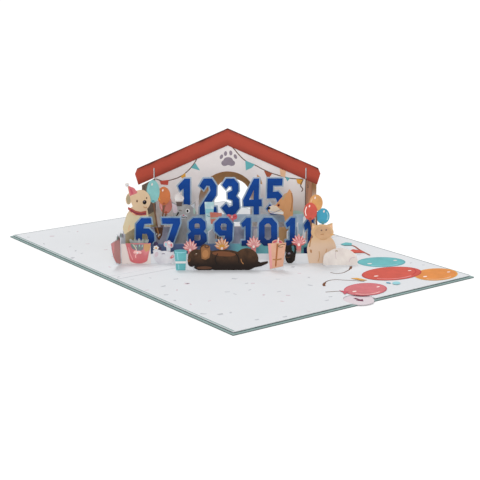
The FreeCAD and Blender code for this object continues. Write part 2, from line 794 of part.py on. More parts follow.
def make_long_dog():
    """Long brown dog lying along the front rail."""
    dog = Figure("long_dog", "long_dog_height", "long_dog_at")
    dog.oval(-0.19, 0.4, 0.94, 0.42)
    dog.oval(0.72, 0.44, 0.46, 0.44)
    dog.oval(0.3, 0.3, 0.7, 0.34)
    dog.oval(-0.75, 0.42, 0.42, 0.38)
    dog.oval(-1.22, 0.5, 0.34, 0.34, -20)
    dog.oval(-1.41, 0.33, 0.16, 0.19, -10)
    dog.oval(-0.88, 0.7, 0.22, 0.35, 8)
    dog.oval(-0.92, 0.12, 0.4, 0.14)
    dog.shape((1.0, 0.1), (1.3, 0.16), (1.56, 0.28), (1.55, 0.36), (1.25, 0.3), (1.05, 0.44))
    dog.trim_foot()
    dog.stand(front_row)


def make_white_pup():
    """Small white pup lying between the presents."""
    pup = Figure("white_pup", "white_pup_height", "white_pup_at")
    pup.oval(0.06, 0.38, 0.66, 0.46)
    pup.oval(-0.36, 0.58, 0.34, 0.34)
    pup.shape((-0.58, 0.62), (-0.3, 0.85), (-0.5, 1.0), (-0.7, 0.84))
    pup.shape((0.34, 0.3), (0.7, 0.52), (0.66, 0.8), (0.3, 0.7))
    pup.trim_foot()
    pup.stand(second_row)


def make_presents():
    """Bucket of leaves, navy parcel, posy, cups and ribboned gift."""
    card = Figure("bucket_card", "bucket_height", "bucket_at")
    card.shape((-0.83, 0), (0.59, 0), (0.6, 1.0), (-0.83, 1.0))
    card.stand(second_row)
    bucket = Figure("bucket", "bucket_height", "bucket_at")
    bucket.shape((-0.43, 0.2), (0.43, 0.2), (0.62, 1.03), (-0.62, 1.03))
    bucket.oval(0, 0.22, 0.435, 0.2)
    bucket.stand(second_row, 2)
    leaves = Figure("bucket_leaves", "bucket_height", "bucket_at")
    for i in range(5):
        lean = 36 - 18 * i
        x = -0.28 + 0.16 * i
        leaves.oval(x, 1.04, 0.09, 0.22, lean)
    leaves.shape((-0.34, 0.8), (0.44, 0.8), (0.44, 1.02), (-0.34, 1.02))
    leaves.stand(second_row, 0)
    parcel = Figure("navy_gift", "navy_gift_height", "navy_gift_at")
    parcel.shape((-0.02, 0.1), (0.3, 0.16), (0.32, 0.72), (0.02, 0.86))
    parcel.oval(0.08, 0.86, 0.1, 0.12)
    parcel.stand(second_row, -1)
    posy = Figure("posy", "posy_height", "posy_at")
    posy.shape((-0.06, 0.2), (0.06, 0.2), (0.1, 0.8), (-0.1, 0.8))
    posy.oval(-0.11, 0.84, 0.09, 0.12)
    posy.oval(0.02, 0.89, 0.09, 0.11)
    posy.oval(0.13, 0.8, 0.08, 0.12)
    posy.stand(second_row, -1)
    cup = Figure("party_cup", "cup_height", "cup_at")
    cup.shape((-0.21, 0), (0.21, 0), (0.29, 0.94), (-0.29, 0.94))
    cup.oval(0, 0.94, 0.29, 0.05)
    cup.stand(front_row)
    gift = Figure("ribbon_gift", "gift_height", "gift_at")
    gift.shape((-0.3, 0.04), (0.165, 0.14), (0.265, 1.0), (-0.38, 0.97))
    gift.oval(-0.13, 1.04, 0.11, 0.055, 24)
    gift.oval(0.05, 1.04, 0.11, 0.055, -24)
    gift.shape((-0.08, 0.96), (0.0, 0.96), (0.03, 1.18), (-0.03, 1.2))
    gift.stand(front_row)
    small_cup = Figure("small_cup", "small_cup_height", "small_cup_at")
    small_cup.shape((-0.055, 0.4), (0.055, 0.4), (0.09, 1.0), (-0.09, 1.0))
    small_cup.stand(mid_row)
    small_parcel = Figure("small_parcel", "small_parcel_height", "small_parcel_at")
    small_parcel.shape((-0.12, 0.72), (0.13, 0.74), (0.14, 0.98), (-0.14, 1.0))
    small_parcel.stand(mid_row, 2)
    small_bow = Figure("small_bow", "small_bow_height", "small_bow_at")
    small_bow.shape((-0.04, 0.5), (0.04, 0.5), (0.04, 0.95), (-0.04, 0.95))
    small_bow.oval(-0.07, 0.92, 0.06, 0.07, 20)
    small_bow.oval(0.07, 0.92, 0.06, 0.07, -20)
    small_bow.stand(mid_row)


def make_flower(name, at, foot, layer=1.0):
    """Half-open flower: a fan of pointed petals on a short foot."""
    radius = size("flower_radius")
    stalk = radius * 0.3
    body = new_body(name)
    add_polygon(body, [(at - stalk, RAIL / 2), (at + stalk, RAIL / 2), (at + stalk, foot + stalk),
                       (at - stalk, foot + stalk)])
    for lean in (-70, -46, -23, 0, 23, 46, 70):
        reach = radius * (1.45 - abs(lean) / 160)
        half = radius * 0.27
        along = (-math.sin(math.radians(lean)), math.cos(math.radians(lean)))
        across = (along[1], -along[0])
        petal = [(0, -half), (0.55 * reach, -half), (reach, 0), (0.55 * reach, half), (0, half)]
        add_polygon(body, [(at + a * along[0] + b * across[0], foot + stalk + a * along[1] + b * across[1])
                           for a, b in petal])
    stand_in_row(body, second_row, layer)


def make_flowers():
    """Three flowers behind the long dog and one behind the black cat."""
    for i in range(3):
        at = size("first_flower_at") + i * size("flower_pitch")
        make_flower("flower_%d" % (i + 1), at, size("flower_foot") + i * size("flower_rise"))
    make_flower("flower_4", size("far_flower_at"), size("flower_foot") + 3 * size("flower_rise"), -1)


def make_balloon(name, row_at, layer, foot_at, foot):
    """Balloon with a knot, on a string that is glued behind its rail."""
    at = size(name + "_at")
    middle = size(name + "_middle")
    tall = size(name + "_half")
    half = size("string_width") / 2
    low = middle - tall
    body = new_body(name)
    add_ellipse(body, (at, middle), size("balloon_radius"), tall)
    add_polygon(body, [(at - 2 * half, low - 2 * half), (at + 2 * half, low - 2 * half), (at, low + 2 * half)])
    add_polygon(body, [(foot_at - half, foot), (foot_at + half, foot), (at + half, low), (at - half, low)])
    stand_in_row(body, row_at, layer)


def make_balloons():
    """Three balloons behind the yellow cat and three behind the cream dog."""
    foot_at = size("right_strings_at")
    foot = size("right_strings_foot")
    make_balloon("balloon_red", second_row, -1, foot_at, foot)
    make_balloon("balloon_orange", second_row, -2, foot_at, foot)
    make_balloon("balloon_blue", second_row, -3, foot_at, foot)
    foot_at = size("left_strings_at")
    foot = size("left_strings_foot")
    make_balloon("balloon_teal", mid_row, -1, foot_at, foot)
    make_balloon("balloon_amber", mid_row, -2, foot_at, foot)
    make_balloon("balloon_coral", mid_row, -3, foot_at, foot)


def check_and_write():
    """Check every object, then write one file for each piece."""
    doc.recompute()
    for item in doc.Objects:
        if "Invalid" in item.State or "Error" in item.State:
            raise RuntimeError("failed: " + item.Name)
    os.makedirs("parts", exist_ok=True)
    for node in nodes:
        shape = node.Shape
        if shape.isNull() or not shape.isValid() or len(shape.Solids) != 1:
            raise RuntimeError("bad shape: " + node.Label)
        shape.exportStep("parts/%s.step" % node.Label)
    print(len(nodes), "pieces written")


def main():
    make_cover()
    make_tapes()
    make_liner()
    make_note_card()
    make_crosses()
    make_rails()
    make_house()
    make_numbers()
    make_cream_dog()
    make_grey_cat()
    make_tan_dog()
    make_yellow_cat()
    make_white_dog()
    make_black_cat()
    make_long_dog()
    make_white_pup()
    make_presents()
    make_flowers()
    make_balloons()
    check_and_write()


main()
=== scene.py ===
import bpy
import math
import random
from mathutils import Matrix, Vector


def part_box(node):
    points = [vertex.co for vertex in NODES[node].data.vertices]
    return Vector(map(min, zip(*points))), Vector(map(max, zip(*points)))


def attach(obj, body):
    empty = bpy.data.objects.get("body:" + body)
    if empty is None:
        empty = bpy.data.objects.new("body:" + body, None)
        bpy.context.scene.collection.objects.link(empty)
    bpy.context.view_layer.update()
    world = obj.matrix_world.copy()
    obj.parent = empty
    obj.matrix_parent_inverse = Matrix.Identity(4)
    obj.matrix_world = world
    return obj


bl_info = {
    "name": "Pop-up card",
    "version": (1, 0, 0),
    "blender": (4, 5, 0),
    "location": "View3D > Sidebar > Pop-up card",
    "description": "Prints and finishes the slices of a pop-up greeting card",
    "category": "Object",
}

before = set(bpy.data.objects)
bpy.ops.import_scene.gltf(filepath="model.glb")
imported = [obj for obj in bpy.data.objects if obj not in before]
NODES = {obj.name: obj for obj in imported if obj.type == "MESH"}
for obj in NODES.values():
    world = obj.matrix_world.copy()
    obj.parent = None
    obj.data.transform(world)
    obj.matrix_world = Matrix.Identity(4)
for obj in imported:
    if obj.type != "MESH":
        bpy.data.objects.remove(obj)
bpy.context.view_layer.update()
MM = 0.001

# The lattice, as the part is built
SLICE = 0.4 * MM
SLICE_ANGLE = math.radians(36.0)
LINER_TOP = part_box("liner")[1].z
LATTICE_CORNER = Vector((-66.3 * MM, 20.8 * MM, LINER_TOP))
UP = Vector((0, 0, 1))
ALONG_ROW = Vector((math.cos(SLICE_ANGLE), -math.sin(SLICE_ANGLE), 0))
ALONG_CROSS = Vector((math.cos(SLICE_ANGLE), math.sin(SLICE_ANGLE), 0))
ROWS = {"front": -16.0, "white_dog": -5.0, "second": 0.0, "lower": 12.0, "mid": 26.0,
        "upper": 40.0, "house": 58.8, "back": 75.0}
RIGHT_CROSS = 99.0
WALL_TOP = 41.8
RAIL_TOP = 17.0
LEAF_TOP = 20.4
TAB_FROM = 58.3

# Heights, in mm, over which the backing turns from its foot strip to its halo
STRIP_FROM = 8.8
STRIP_TO = 10.2

# Width of a sharp border between two printed colours
SHARP = 0.1 * MM

# Printing: each layer of ink lies a little above the one below
INK_LIFT = 0.03 * MM
INK_STEP = 0.012 * MM
INK_THICK = 0.025 * MM

# The photograph's camera, from a fit to the corners of the card
CAMERA_PLACE = Vector((-433.8, -598.0, 199.4)) * MM + Vector((0, 0, LINER_TOP))
CAMERA_YAW = math.radians(36.56)
CAMERA_DOWN = math.radians(14.45)
CAMERA_LENS_RATIO = 1205.3 / 480


def tone(red, green, blue):
    """Linear colour of a print tone written as 0 to 255."""
    return tuple(round((value / 255) ** 2.2, 4) for value in (red, green, blue))


# Sizes and colours that a user may change


class PopupSizes(bpy.types.PropertyGroup):
    speck_count: bpy.props.IntProperty(
        name="Specks", description="Specks scattered over the rest of the sheet", default=46, min=0)
    speck_size: bpy.props.FloatProperty(
        name="Speck", description="Length of a printed speck", default=3.0 * MM, unit="LENGTH")
    string_width: bpy.props.FloatProperty(
        name="String", description="Width of a printed string", default=0.6 * MM, unit="LENGTH")
    front_lamp: bpy.props.FloatProperty(
        name="Front lamp", description="Strength of the lamp beside the camera", default=1.0)
    back_lamp: bpy.props.FloatProperty(
        name="Back lamp", description="Strength of the lamp above and behind the card", default=1.0)
    sky_strength: bpy.props.FloatProperty(
        name="Sky", description="Strength of the soft light all round", default=0.6)


def colour_property(name, description, default):
    return bpy.props.FloatVectorProperty(
        name=name, description=description, subtype="COLOR", size=3, min=0, max=1, default=default)


class PopupColours(bpy.types.PropertyGroup):
    cover: colour_property("Cover", "Grey-teal board of the cover", tone(152, 176, 173))
    white: colour_property("White", "Bare white card", tone(222, 224, 227))
    wall: colour_property("Wall", "Pale wall of the house", tone(240, 231, 229))
    roof: colour_property("Roof", "Red of the roof band", tone(178, 76, 60))
    wood: colour_property("Wood", "Brown of the back wall", tone(190, 144, 100))
    number: colour_property("Numbers", "Blue of the numbers", tone(14, 70, 148))
    halo: colour_property("Halo", "Pale blue behind the numbers", tone(150, 174, 194))
    teal: colour_property("Teal", "Teal balloons, flags and cup", tone(106, 180, 184))
    orange: colour_property("Orange", "Orange balloons and flags", tone(222, 140, 72))
    red: colour_property("Red", "Red balloons, flags and scarf", tone(205, 88, 74))
    pink: colour_property("Pink", "Pink flowers and bucket", tone(208, 116, 120))


def sizes():
    return bpy.context.scene.popup_sizes


def colours():
    return bpy.context.scene.popup_colours


# Materials


def new_material(name, roughness=0.7, sheen=0.25):
    """Material with the dull surface of print; sheen is the specular level."""
    material = bpy.data.materials.new(name)
    material.use_nodes = True
    nodes = material.node_tree.nodes
    shader = nodes["Principled BSDF"]
    shader.inputs["Roughness"].default_value = roughness
    shader.inputs["Specular IOR Level"].default_value = sheen
    return material, nodes, material.node_tree.links


def scaled(colour, factor):
    return tuple(min(1.0, max(0.0, c * factor)) for c in colour[:3]) + (1.0,)


def add_grain(nodes, links, strength=0.25):
    """Fine tooth of uncoated card, as a bump."""
    coordinates = nodes.new("ShaderNodeTexCoord")
    grain = nodes.new("ShaderNodeTexNoise")
    grain.inputs["Scale"].default_value = 2600
    grain.inputs["Detail"].default_value = 3
    bump = nodes.new("ShaderNodeBump")
    bump.inputs["Strength"].default_value = strength
    bump.inputs["Distance"].default_value = 0.05 * MM
    links.new(coordinates.outputs["Object"], grain.inputs["Vector"])
    links.new(grain.outputs["Fac"], bump.inputs["Height"])
    links.new(bump.outputs["Normal"], nodes["Principled BSDF"].inputs["Normal"])


def coloured(material, nodes, links, colour, grain=0.25):
    """Give a material its colour and the grain of card."""
    links.new(colour, nodes["Principled BSDF"].inputs["Base Color"])
    add_grain(nodes, links, grain)
    return material


def wash(nodes, links, light, dark, patch, streak=0.0):
    """Two tones washed into each other; patch is their size in mm."""
    coordinates = nodes.new("ShaderNodeTexCoord")
    mapping = nodes.new("ShaderNodeMapping")
    mapping.inputs["Scale"].default_value = (1, 1, 1 - streak)
    cloud = nodes.new("ShaderNodeTexNoise")
    cloud.inputs["Scale"].default_value = 1000 / patch
    cloud.inputs["Detail"].default_value = 5
    cloud.inputs["Roughness"].default_value = 0.62
    ramp = nodes.new("ShaderNodeValToRGB")
    ramp.color_ramp.elements[0].position = 0.35
    ramp.color_ramp.elements[0].color = scaled(dark, 1)
    ramp.color_ramp.elements[1].position = 0.65
    ramp.color_ramp.elements[1].color = scaled(light, 1)
    links.new(coordinates.outputs["Object"], mapping.inputs["Vector"])
    links.new(mapping.outputs["Vector"], cloud.inputs["Vector"])
    links.new(cloud.outputs["Fac"], ramp.inputs["Fac"])
    return ramp.outputs["Color"]


def laid_over(nodes, links, under, over, share):
    """A second colour laid over the first where share is 1."""
    mix = nodes.new("ShaderNodeMix")
    mix.data_type = "RGBA"
    for socket, value in (("A", under), ("B", over), ("Factor", share)):
        if isinstance(value, tuple):
            mix.inputs[socket].default_value = value
        else:
            links.new(value, mix.inputs[socket])
    return mix.outputs["Result"]


def fade(nodes, links, value, start, end):
    """1 at start, 0 at end and a smooth change between them."""
    change = nodes.new("ShaderNodeMapRange")
    change.interpolation_type = "SMOOTHSTEP"
    change.inputs["From Min"].default_value = start
    change.inputs["From Max"].default_value = end
    change.inputs["To Min"].default_value = 1
    change.inputs["To Max"].default_value = 0
    links.new(value, change.inputs["Value"])
    return change.outputs["Result"]


def below(nodes, links, value, border):
    """1 below a border and 0 above it."""
    return fade(nodes, links, value, border, border + SHARP)


def height_above(nodes, links):
    """Height above the inner sheet, in metres."""
    coordinates = nodes.new("ShaderNodeTexCoord")
    split = nodes.new("ShaderNodeSeparateXYZ")
    links.new(coordinates.outputs["Object"], split.inputs["Vector"])
    return maths(nodes, links, "SUBTRACT", split.outputs["Z"], LINER_TOP)


def washed(name, light, dark, patch=14, streak=0.0, low=None, low_from=0.0, low_to=10.0):
    """Printed card in two washed tones, with a third that comes in lower down, in mm."""
    material, nodes, links = new_material(name)
    colour = wash(nodes, links, light, dark, patch, streak)
    if low:
        share = fade(nodes, links, height_above(nodes, links), low_from * MM, low_to * MM)
        colour = laid_over(nodes, links, colour, scaled(low, 1), share)
    return coloured(material, nodes, links, colour)


def plain_card(name, colour, spread=0.05, patch=30):
    """One colour of card with the slight unevenness of print."""
    return washed(name, scaled(colour, 1 + spread), scaled(colour, 1 - spread), patch)


def turned_position(nodes, links, angle):
    """Position turned about the upright, split into X, Y and Z."""
    coordinates = nodes.new("ShaderNodeTexCoord")
    mapping = nodes.new("ShaderNodeMapping")
    mapping.inputs["Rotation"].default_value = (0, 0, angle)
    split = nodes.new("ShaderNodeSeparateXYZ")
    links.new(coordinates.outputs["Object"], mapping.inputs["Vector"])
    links.new(mapping.outputs["Vector"], split.inputs["Vector"])
    return split


def maths(nodes, links, operation, first, second):
    """One sum on two values, each a number or another node's output."""
    node = nodes.new("ShaderNodeMath")
    node.operation = operation
    for socket, value in zip(node.inputs, (first, second)):
        if isinstance(value, (int, float)):
            socket.default_value = value
        else:
            links.new(value, socket)
    return node.outputs[0]


def cover_material():
    """Grey-teal board: a pale cut edge that darkens to painted shade at its foot."""
    material, nodes, links = new_material("cover_board")
    cover = colours().cover
    colour = wash(nodes, links, scaled(cover, 0.95), scaled(cover, 0.8), 12)
    height = height_above(nodes, links)
    # Painted shade: the lowest part of the board's edge turns to a dark teal.
    colour = laid_over(nodes, links, colour, scaled(cover, 0.3), fade(nodes, links, height, -1.35 * MM, -0.95 * MM))
    return coloured(material, nodes, links, colour)


def roof_material():
    """Red band that darkens along its lower edge, with a dark line on top."""
    material, nodes, links = new_material("roof_print")
    place = turned_position(nodes, links, SLICE_ANGLE)
    peak = row_point("house", ROOF_PEAK_AT, ROOF_PEAK_HEIGHT)
    aside = maths(nodes, links, "ABSOLUTE",
                  maths(nodes, links, "SUBTRACT", place.outputs["X"], peak.dot(ALONG_ROW)), 0)
    fall = maths(nodes, links, "MULTIPLY", aside, math.tan(ROOF_SLOPE))
    edge = maths(nodes, links, "SUBTRACT", peak.z, fall)
    depth = maths(nodes, links, "SUBTRACT", edge, place.outputs["Z"])
    share = maths(nodes, links, "DIVIDE", depth, ROOF_DEPTH * MM)
    blur = nodes.new("ShaderNodeTexNoise")
    blur.inputs["Scale"].default_value = 90
    blur.inputs["Detail"].default_value = 4
    coordinates = nodes.new("ShaderNodeTexCoord")
    links.new(coordinates.outputs["Object"], blur.inputs["Vector"])
    shift = maths(nodes, links, "MULTIPLY", maths(nodes, links, "SUBTRACT", blur.outputs["Fac"], 0.5), 0.3)
    ramp = nodes.new("ShaderNodeValToRGB")
    red = colours().roof
    stops = [(0.0, 0.2), (0.06, 0.34), (0.1, 0.85), (0.3, 1.08), (0.62, 1.04), (0.85, 0.82), (1.0, 0.62)]
    ramp.color_ramp.elements[0].color = scaled(red, stops[0][1])
    ramp.color_ramp.elements[1].color = scaled(red, stops[-1][1])
    for position, shade in stops[1:-1]:
        ramp.color_ramp.elements.new(position).color = scaled(red, shade)
    links.new(maths(nodes, links, "ADD", share, shift), ramp.inputs["Fac"])
    return coloured(material, nodes, links, ramp.outputs["Color"])


def wall_material():
    """Front wall: warm white that turns to beige at its lower right."""
    material, nodes, links = new_material("wall_print")
    wall = colours().wall
    colour = wash(nodes, links, scaled(wall, 1.05), scaled(wall, 0.94), 24)
    place = turned_position(nodes, links, SLICE_ANGLE)
    right = row_point("house", 99, 0).dot(ALONG_ROW)
    past = fade(nodes, links, place.outputs["X"], right, right - 34 * MM)
    low = fade(nodes, links, height_above(nodes, links), 14 * MM, 42 * MM)
    share = maths(nodes, links, "MULTIPLY", past, low)
    colour = laid_over(nodes, links, colour, scaled(tone(184, 168, 156), 1), share)
    return coloured(material, nodes, links, colour)


def left_wall_material():
    """Left cross slice: white in front, then the dog's cream flank, and higher up the house wall in olive brown:
    brown boards darkened with painted shade.
    """
    material, nodes, links = new_material("left_wall_print")
    # Painted shade: the boards are a brown darkened to an olive grey-brown.
    boards = wash(nodes, links, scaled(tone(140, 126, 112), 1), scaled(tone(112, 98, 86), 1), 6, 0.7)
    cream = wash(nodes, links, scaled(tone(222, 204, 168), 1), scaled(tone(206, 188, 148), 1), 8)
    height = height_above(nodes, links)
    flank = laid_over(nodes, links, cream, scaled(tone(168, 152, 104), 1),
                      fade(nodes, links, height, 9 * MM, 14 * MM))
    flank = laid_over(nodes, links, flank, scaled(tone(112, 98, 92), 1), fade(nodes, links, height, 3 * MM, 9 * MM))
    white = scaled(colours().white, 1)
    along = turned_position(nodes, links, -SLICE_ANGLE).outputs["X"]
    start = LATTICE_CORNER.dot(ALONG_CROSS)
    flank = laid_over(nodes, links, flank, white, fade(nodes, links, along, start + 7 * MM, start + 8 * MM))
    colour = laid_over(nodes, links, boards, flank, below(nodes, links, height, LEAF_TOP * MM))
    tab = laid_over(nodes, links, scaled(colours().roof, 0.9), white,
                    below(nodes, links, along, start + TAB_FROM * MM))
    colour = laid_over(nodes, links, tab, colour, below(nodes, links, height, WALL_TOP * MM))
    return coloured(material, nodes, links, colour)


def right_wall_material():
    """Right cross slice: white in front, brown boards behind the house's front wall."""
    material, nodes, links = new_material("right_wall_print")
    boards = wash(nodes, links, scaled(tone(206, 142, 104), 1), scaled(tone(160, 110, 84), 1), 7, 0.75)
    along = turned_position(nodes, links, -SLICE_ANGLE).outputs["X"]
    corner = (LATTICE_CORNER + ALONG_ROW * RIGHT_CROSS * MM).dot(ALONG_CROSS)
    start = corner + ROWS["house"] * MM
    white = scaled(colours().white, 1)
    height = height_above(nodes, links)
    front = laid_over(nodes, links, scaled(tone(104, 74, 58), 1), white,
                      below(nodes, links, height, (RAIL_TOP + 0.2) * MM))
    colour = laid_over(nodes, links, boards, front, below(nodes, links, along, start))
    tab = laid_over(nodes, links, scaled(colours().roof, 0.9), white,
                    below(nodes, links, along, start - 0.5 * MM))
    colour = laid_over(nodes, links, tab, colour, below(nodes, links, height, WALL_TOP * MM))
    return coloured(material, nodes, links, colour)


def lower_halo_material(light, dark):
    """Pale blue backing whose foot strip is dusky blue at the left and teal at the right."""
    material, nodes, links = new_material("lower_halo")
    colour = wash(nodes, links, light, dark, 9)
    along = turned_position(nodes, links, SLICE_ANGLE).outputs["X"]
    change = row_point("lower", 60, 0).dot(ALONG_ROW)
    strip = laid_over(nodes, links, scaled(tone(108, 172, 178), 1), scaled(tone(84, 100, 136), 1),
                      fade(nodes, links, along, change, change + 10 * MM))
    share = fade(nodes, links, height_above(nodes, links), STRIP_FROM * MM, STRIP_TO * MM)
    colour = laid_over(nodes, links, colour, strip, share)
    return coloured(material, nodes, links, colour)


def balloon_material(name, colour, foot):
    """Balloon print in two washed tones; the strings below its foot are brown."""
    material, nodes, links = new_material(name, 0.5, 0.35)
    body = wash(nodes, links, scaled(colour, 1.1), scaled(colour, 0.9), 7)
    share = fade(nodes, links, height_above(nodes, links), (foot - 0.6) * MM, (foot + 0.2) * MM)
    body = laid_over(nodes, links, body, scaled(tone(120, 84, 62), 1), share)
    return coloured(material, nodes, links, body, 0.1)


INKS = {}
INK_TONES = {
    "white": (228, 225, 224), "black": (32, 27, 26), "brown": (96, 66, 50), "grey": (146, 134, 144),
    "peach": (236, 188, 150), "yellow": (226, 164, 74), "tan": (176, 122, 78), "rose": (228, 156, 156),
    "shade": (172, 156, 128), "pale": (226, 206, 182), "leaf": (116, 134, 122), "highlight": (250, 226, 218),
    "sky": (150, 206, 214), "dusk": (132, 122, 138), "plum": (112, 48, 74), "sand": (198, 152, 108),
    # The grey for the fold line is painted shade of the crease.
    "speck_pink": (208, 190, 197), "speck_grey": (192, 194, 199), "fold": (186, 188, 193),
    "fleece": (216, 202, 200), "chestnut": (116, 74, 50), "mint": (168, 196, 184), "blue": (74, 156, 188),
    "rust": (170, 88, 62), "petal": (244, 190, 184), "rim_red": (190, 62, 62), "rim_teal": (92, 160, 168),
    "rim_pink": (196, 90, 104), "scarf": (178, 84, 76),
    # The edge ink is the cover's teal darkened with painted shade; margin is the cover's own border.
    "side_pink": (196, 144, 140), "edge": (112, 130, 128), "margin": (158, 182, 179), "ear": (148, 102, 66),
    "cat_face": (206, 166, 128),
}


def ink(name):
    """Material of one printed colour, made the first time it is used."""
    if name in INKS:
        return INKS[name]
    if name in INK_TONES:
        colour = tone(*INK_TONES[name])
    else:
        colour = getattr(colours(), name)
    INKS[name] = plain_card(name + "_ink", colour, 0.07, 6)
    return INKS[name]


# Places on the card


def row_point(row, along, height, lift=0.0):
    """Point on a row's middle plane, in mm along and up; lift is towards the reader, in metres."""
    towards_reader = ALONG_ROW.cross(UP)
    base = LATTICE_CORNER + ALONG_CROSS * ROWS[row] * MM
    return base + ALONG_ROW * along * MM + UP * height * MM + towards_reader * lift


def row_face(row, layer=1.0):
    """Matrix from a flat drawing, in mm, to the front of a piece in a row."""
    return face_matrix(row_point(row, 0, 0, SLICE * (layer + 0.5)), ALONG_ROW, UP)


def cross_face(cross_at):
    """Matrix from a flat drawing to the right side of a cross slice."""
    normal = ALONG_CROSS.cross(UP)
    base = LATTICE_CORNER + ALONG_ROW * cross_at * MM + normal * SLICE / 2
    return face_matrix(base, ALONG_CROSS, UP)


def sheet_face(height):
    """Matrix from a flat drawing to the top of a lying sheet."""
    return face_matrix(Vector((0, 0, height)), Vector((1, 0, 0)), Vector((0, 1, 0)))


def face_matrix(origin, across, upwards):
    normal = across.cross(upwards)
    turn = Matrix((across, upwards, normal)).transposed().to_4x4()
    return Matrix.Translation(origin) @ turn @ Matrix.Diagonal((MM, MM, MM, 1))


class Print:
    """Flat shapes printed on one face, joined into one thin piece."""

    def __init__(self, name, face):
        self.name = name
        self.face = face
        self.shapes = []
        self.layer = 0

    def settle(self, shape, ink_name):
        """Lift a flat shape onto the face, above what is printed there already."""
        lift = (INK_LIFT + INK_STEP * self.layer) / MM
        self.layer += 1
        shape.matrix_world = self.face @ Matrix.Translation((0, 0, lift)) @ shape.matrix_world
        bpy.ops.object.transform_apply(location=True, rotation=True, scale=True)
        shape.data.materials.clear()
        shape.data.materials.append(ink(ink_name))
        self.shapes.append(shape)
        return self

    def oval(self, x, y, half_x, half_y, ink_name, tilt=0.0, sides=28):
        bpy.ops.object.select_all(action="DESELECT")
        bpy.ops.mesh.primitive_circle_add(vertices=sides, radius=1, fill_type="NGON")
        shape = bpy.context.object
        place = Matrix.Translation((x, y, 0)) @ Matrix.Rotation(math.radians(tilt), 4, "Z")
        shape.matrix_world = place @ Matrix.Diagonal((half_x, half_y, 1, 1))
        return self.settle(shape, ink_name)

    def shape(self, points, ink_name):
        """Filled outline: a round blank whose corners are moved to the points."""
        bpy.ops.object.select_all(action="DESELECT")
        bpy.ops.mesh.primitive_circle_add(vertices=len(points), radius=1, fill_type="NGON")
        shape = bpy.context.object
        turns = sum(a[0] * b[1] - a[1] * b[0] for a, b in zip(points, points[1:] + points[:1]))
        ordered = points if turns > 0 else points[::-1]
        if shape.data.polygons[0].normal.z < 0:
            ordered = ordered[::-1]
        for i, corner in zip(shape.data.polygons[0].vertices, ordered):
            shape.data.vertices[i].co = (corner[0], corner[1], 0)
        return self.settle(shape, ink_name)

    def line(self, points, width, ink_name):
        """Printed line of one width through a few points, as a smooth curve."""
        bpy.ops.object.select_all(action="DESELECT")
        bpy.ops.curve.primitive_bezier_curve_add()
        curve = bpy.context.object
        curve.data.dimensions = "2D"
        curve.data.resolution_u = 8
        curve.data.fill_mode = "NONE"
        spline = curve.data.splines[0]
        spline.bezier_points.add(len(points) - 2)
        for knot, (x, y) in zip(spline.bezier_points, points):
            knot.co = (x, y, 0)
            knot.handle_left_type = "AUTO"
            knot.handle_right_type = "AUTO"
        curve.data.extrude = 0
        bpy.ops.object.convert(target="MESH")
        ribbon = bpy.context.object
        widen(ribbon, width)
        return self.settle(ribbon, ink_name)

    def finish(self, slot="white_card", body="card"):
        """Join the shapes, give the ink a body and hang it on the card."""
        bpy.ops.object.select_all(action="DESELECT")
        for shape in self.shapes:
            shape.select_set(True)
        piece = self.shapes[0]
        bpy.context.view_layer.objects.active = piece
        if len(self.shapes) > 1:
            bpy.ops.object.join()
        piece.name = self.name
        solid = piece.modifiers.new("ink", "SOLIDIFY")
        solid.thickness = INK_THICK
        solid.offset = -1
        bpy.ops.object.modifier_apply(modifier=solid.name)
        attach(piece, body)
        return piece


def widen(ribbon, width):
    """Turn a line of edges into a flat ribbon of one width."""
    points = [vertex.co.copy() for vertex in ribbon.data.vertices]
    bpy.ops.object.mode_set(mode="EDIT")
    bpy.ops.mesh.select_all(action="SELECT")
    bpy.ops.mesh.extrude_edges_move()
    bpy.ops.object.mode_set(mode="OBJECT")
    count = len(points)
    for i, point in enumerate(points):
        before = points[max(i - 1, 0)]
        after = points[min(i + 1, count - 1)]
        along = (after - before).normalized()
        aside = Vector((-along.y, along.x, 0)) * width / 2
        ribbon.data.vertices[i].co = point - aside
        ribbon.data.vertices[i + count].co = point + aside
    bpy.ops.object.mode_set(mode="EDIT")
    bpy.ops.mesh.select_all(action="SELECT")
    bpy.ops.mesh.normals_make_consistent(inside=False)
    bpy.ops.object.mode_set(mode="OBJECT")
    if ribbon.data.polygons[0].normal.z < 0:
        ribbon.data.flip_normals()


def finish_node(name, material):
    """Give a CAD piece its own material."""
    node = NODES[name]
    node.data.materials.clear()
    node.data.materials.append(material)


class Figure(Print):
    """Print on a die-cut figure, in shares of its height from the middle of its foot."""

    def __init__(self, name, row, at, height, layer=1.0):
        super().__init__(name, row_face(row, layer))
        self.at = at
        self.height = height

    def spot(self, x, y, half_x, half_y, ink_name, tilt=0.0):
        tall = self.height
        return self.oval(self.at + x * tall, y * tall, half_x * tall, half_y * tall, ink_name, tilt)

    def patch(self, points, ink_name):
        return self.shape([(self.at + x * self.height, y * self.height) for x, y in points], ink_name)

    def stroke(self, points, width, ink_name):
        return self.line([(self.at + x * self.height, y * self.height) for x, y in points], width, ink_name)


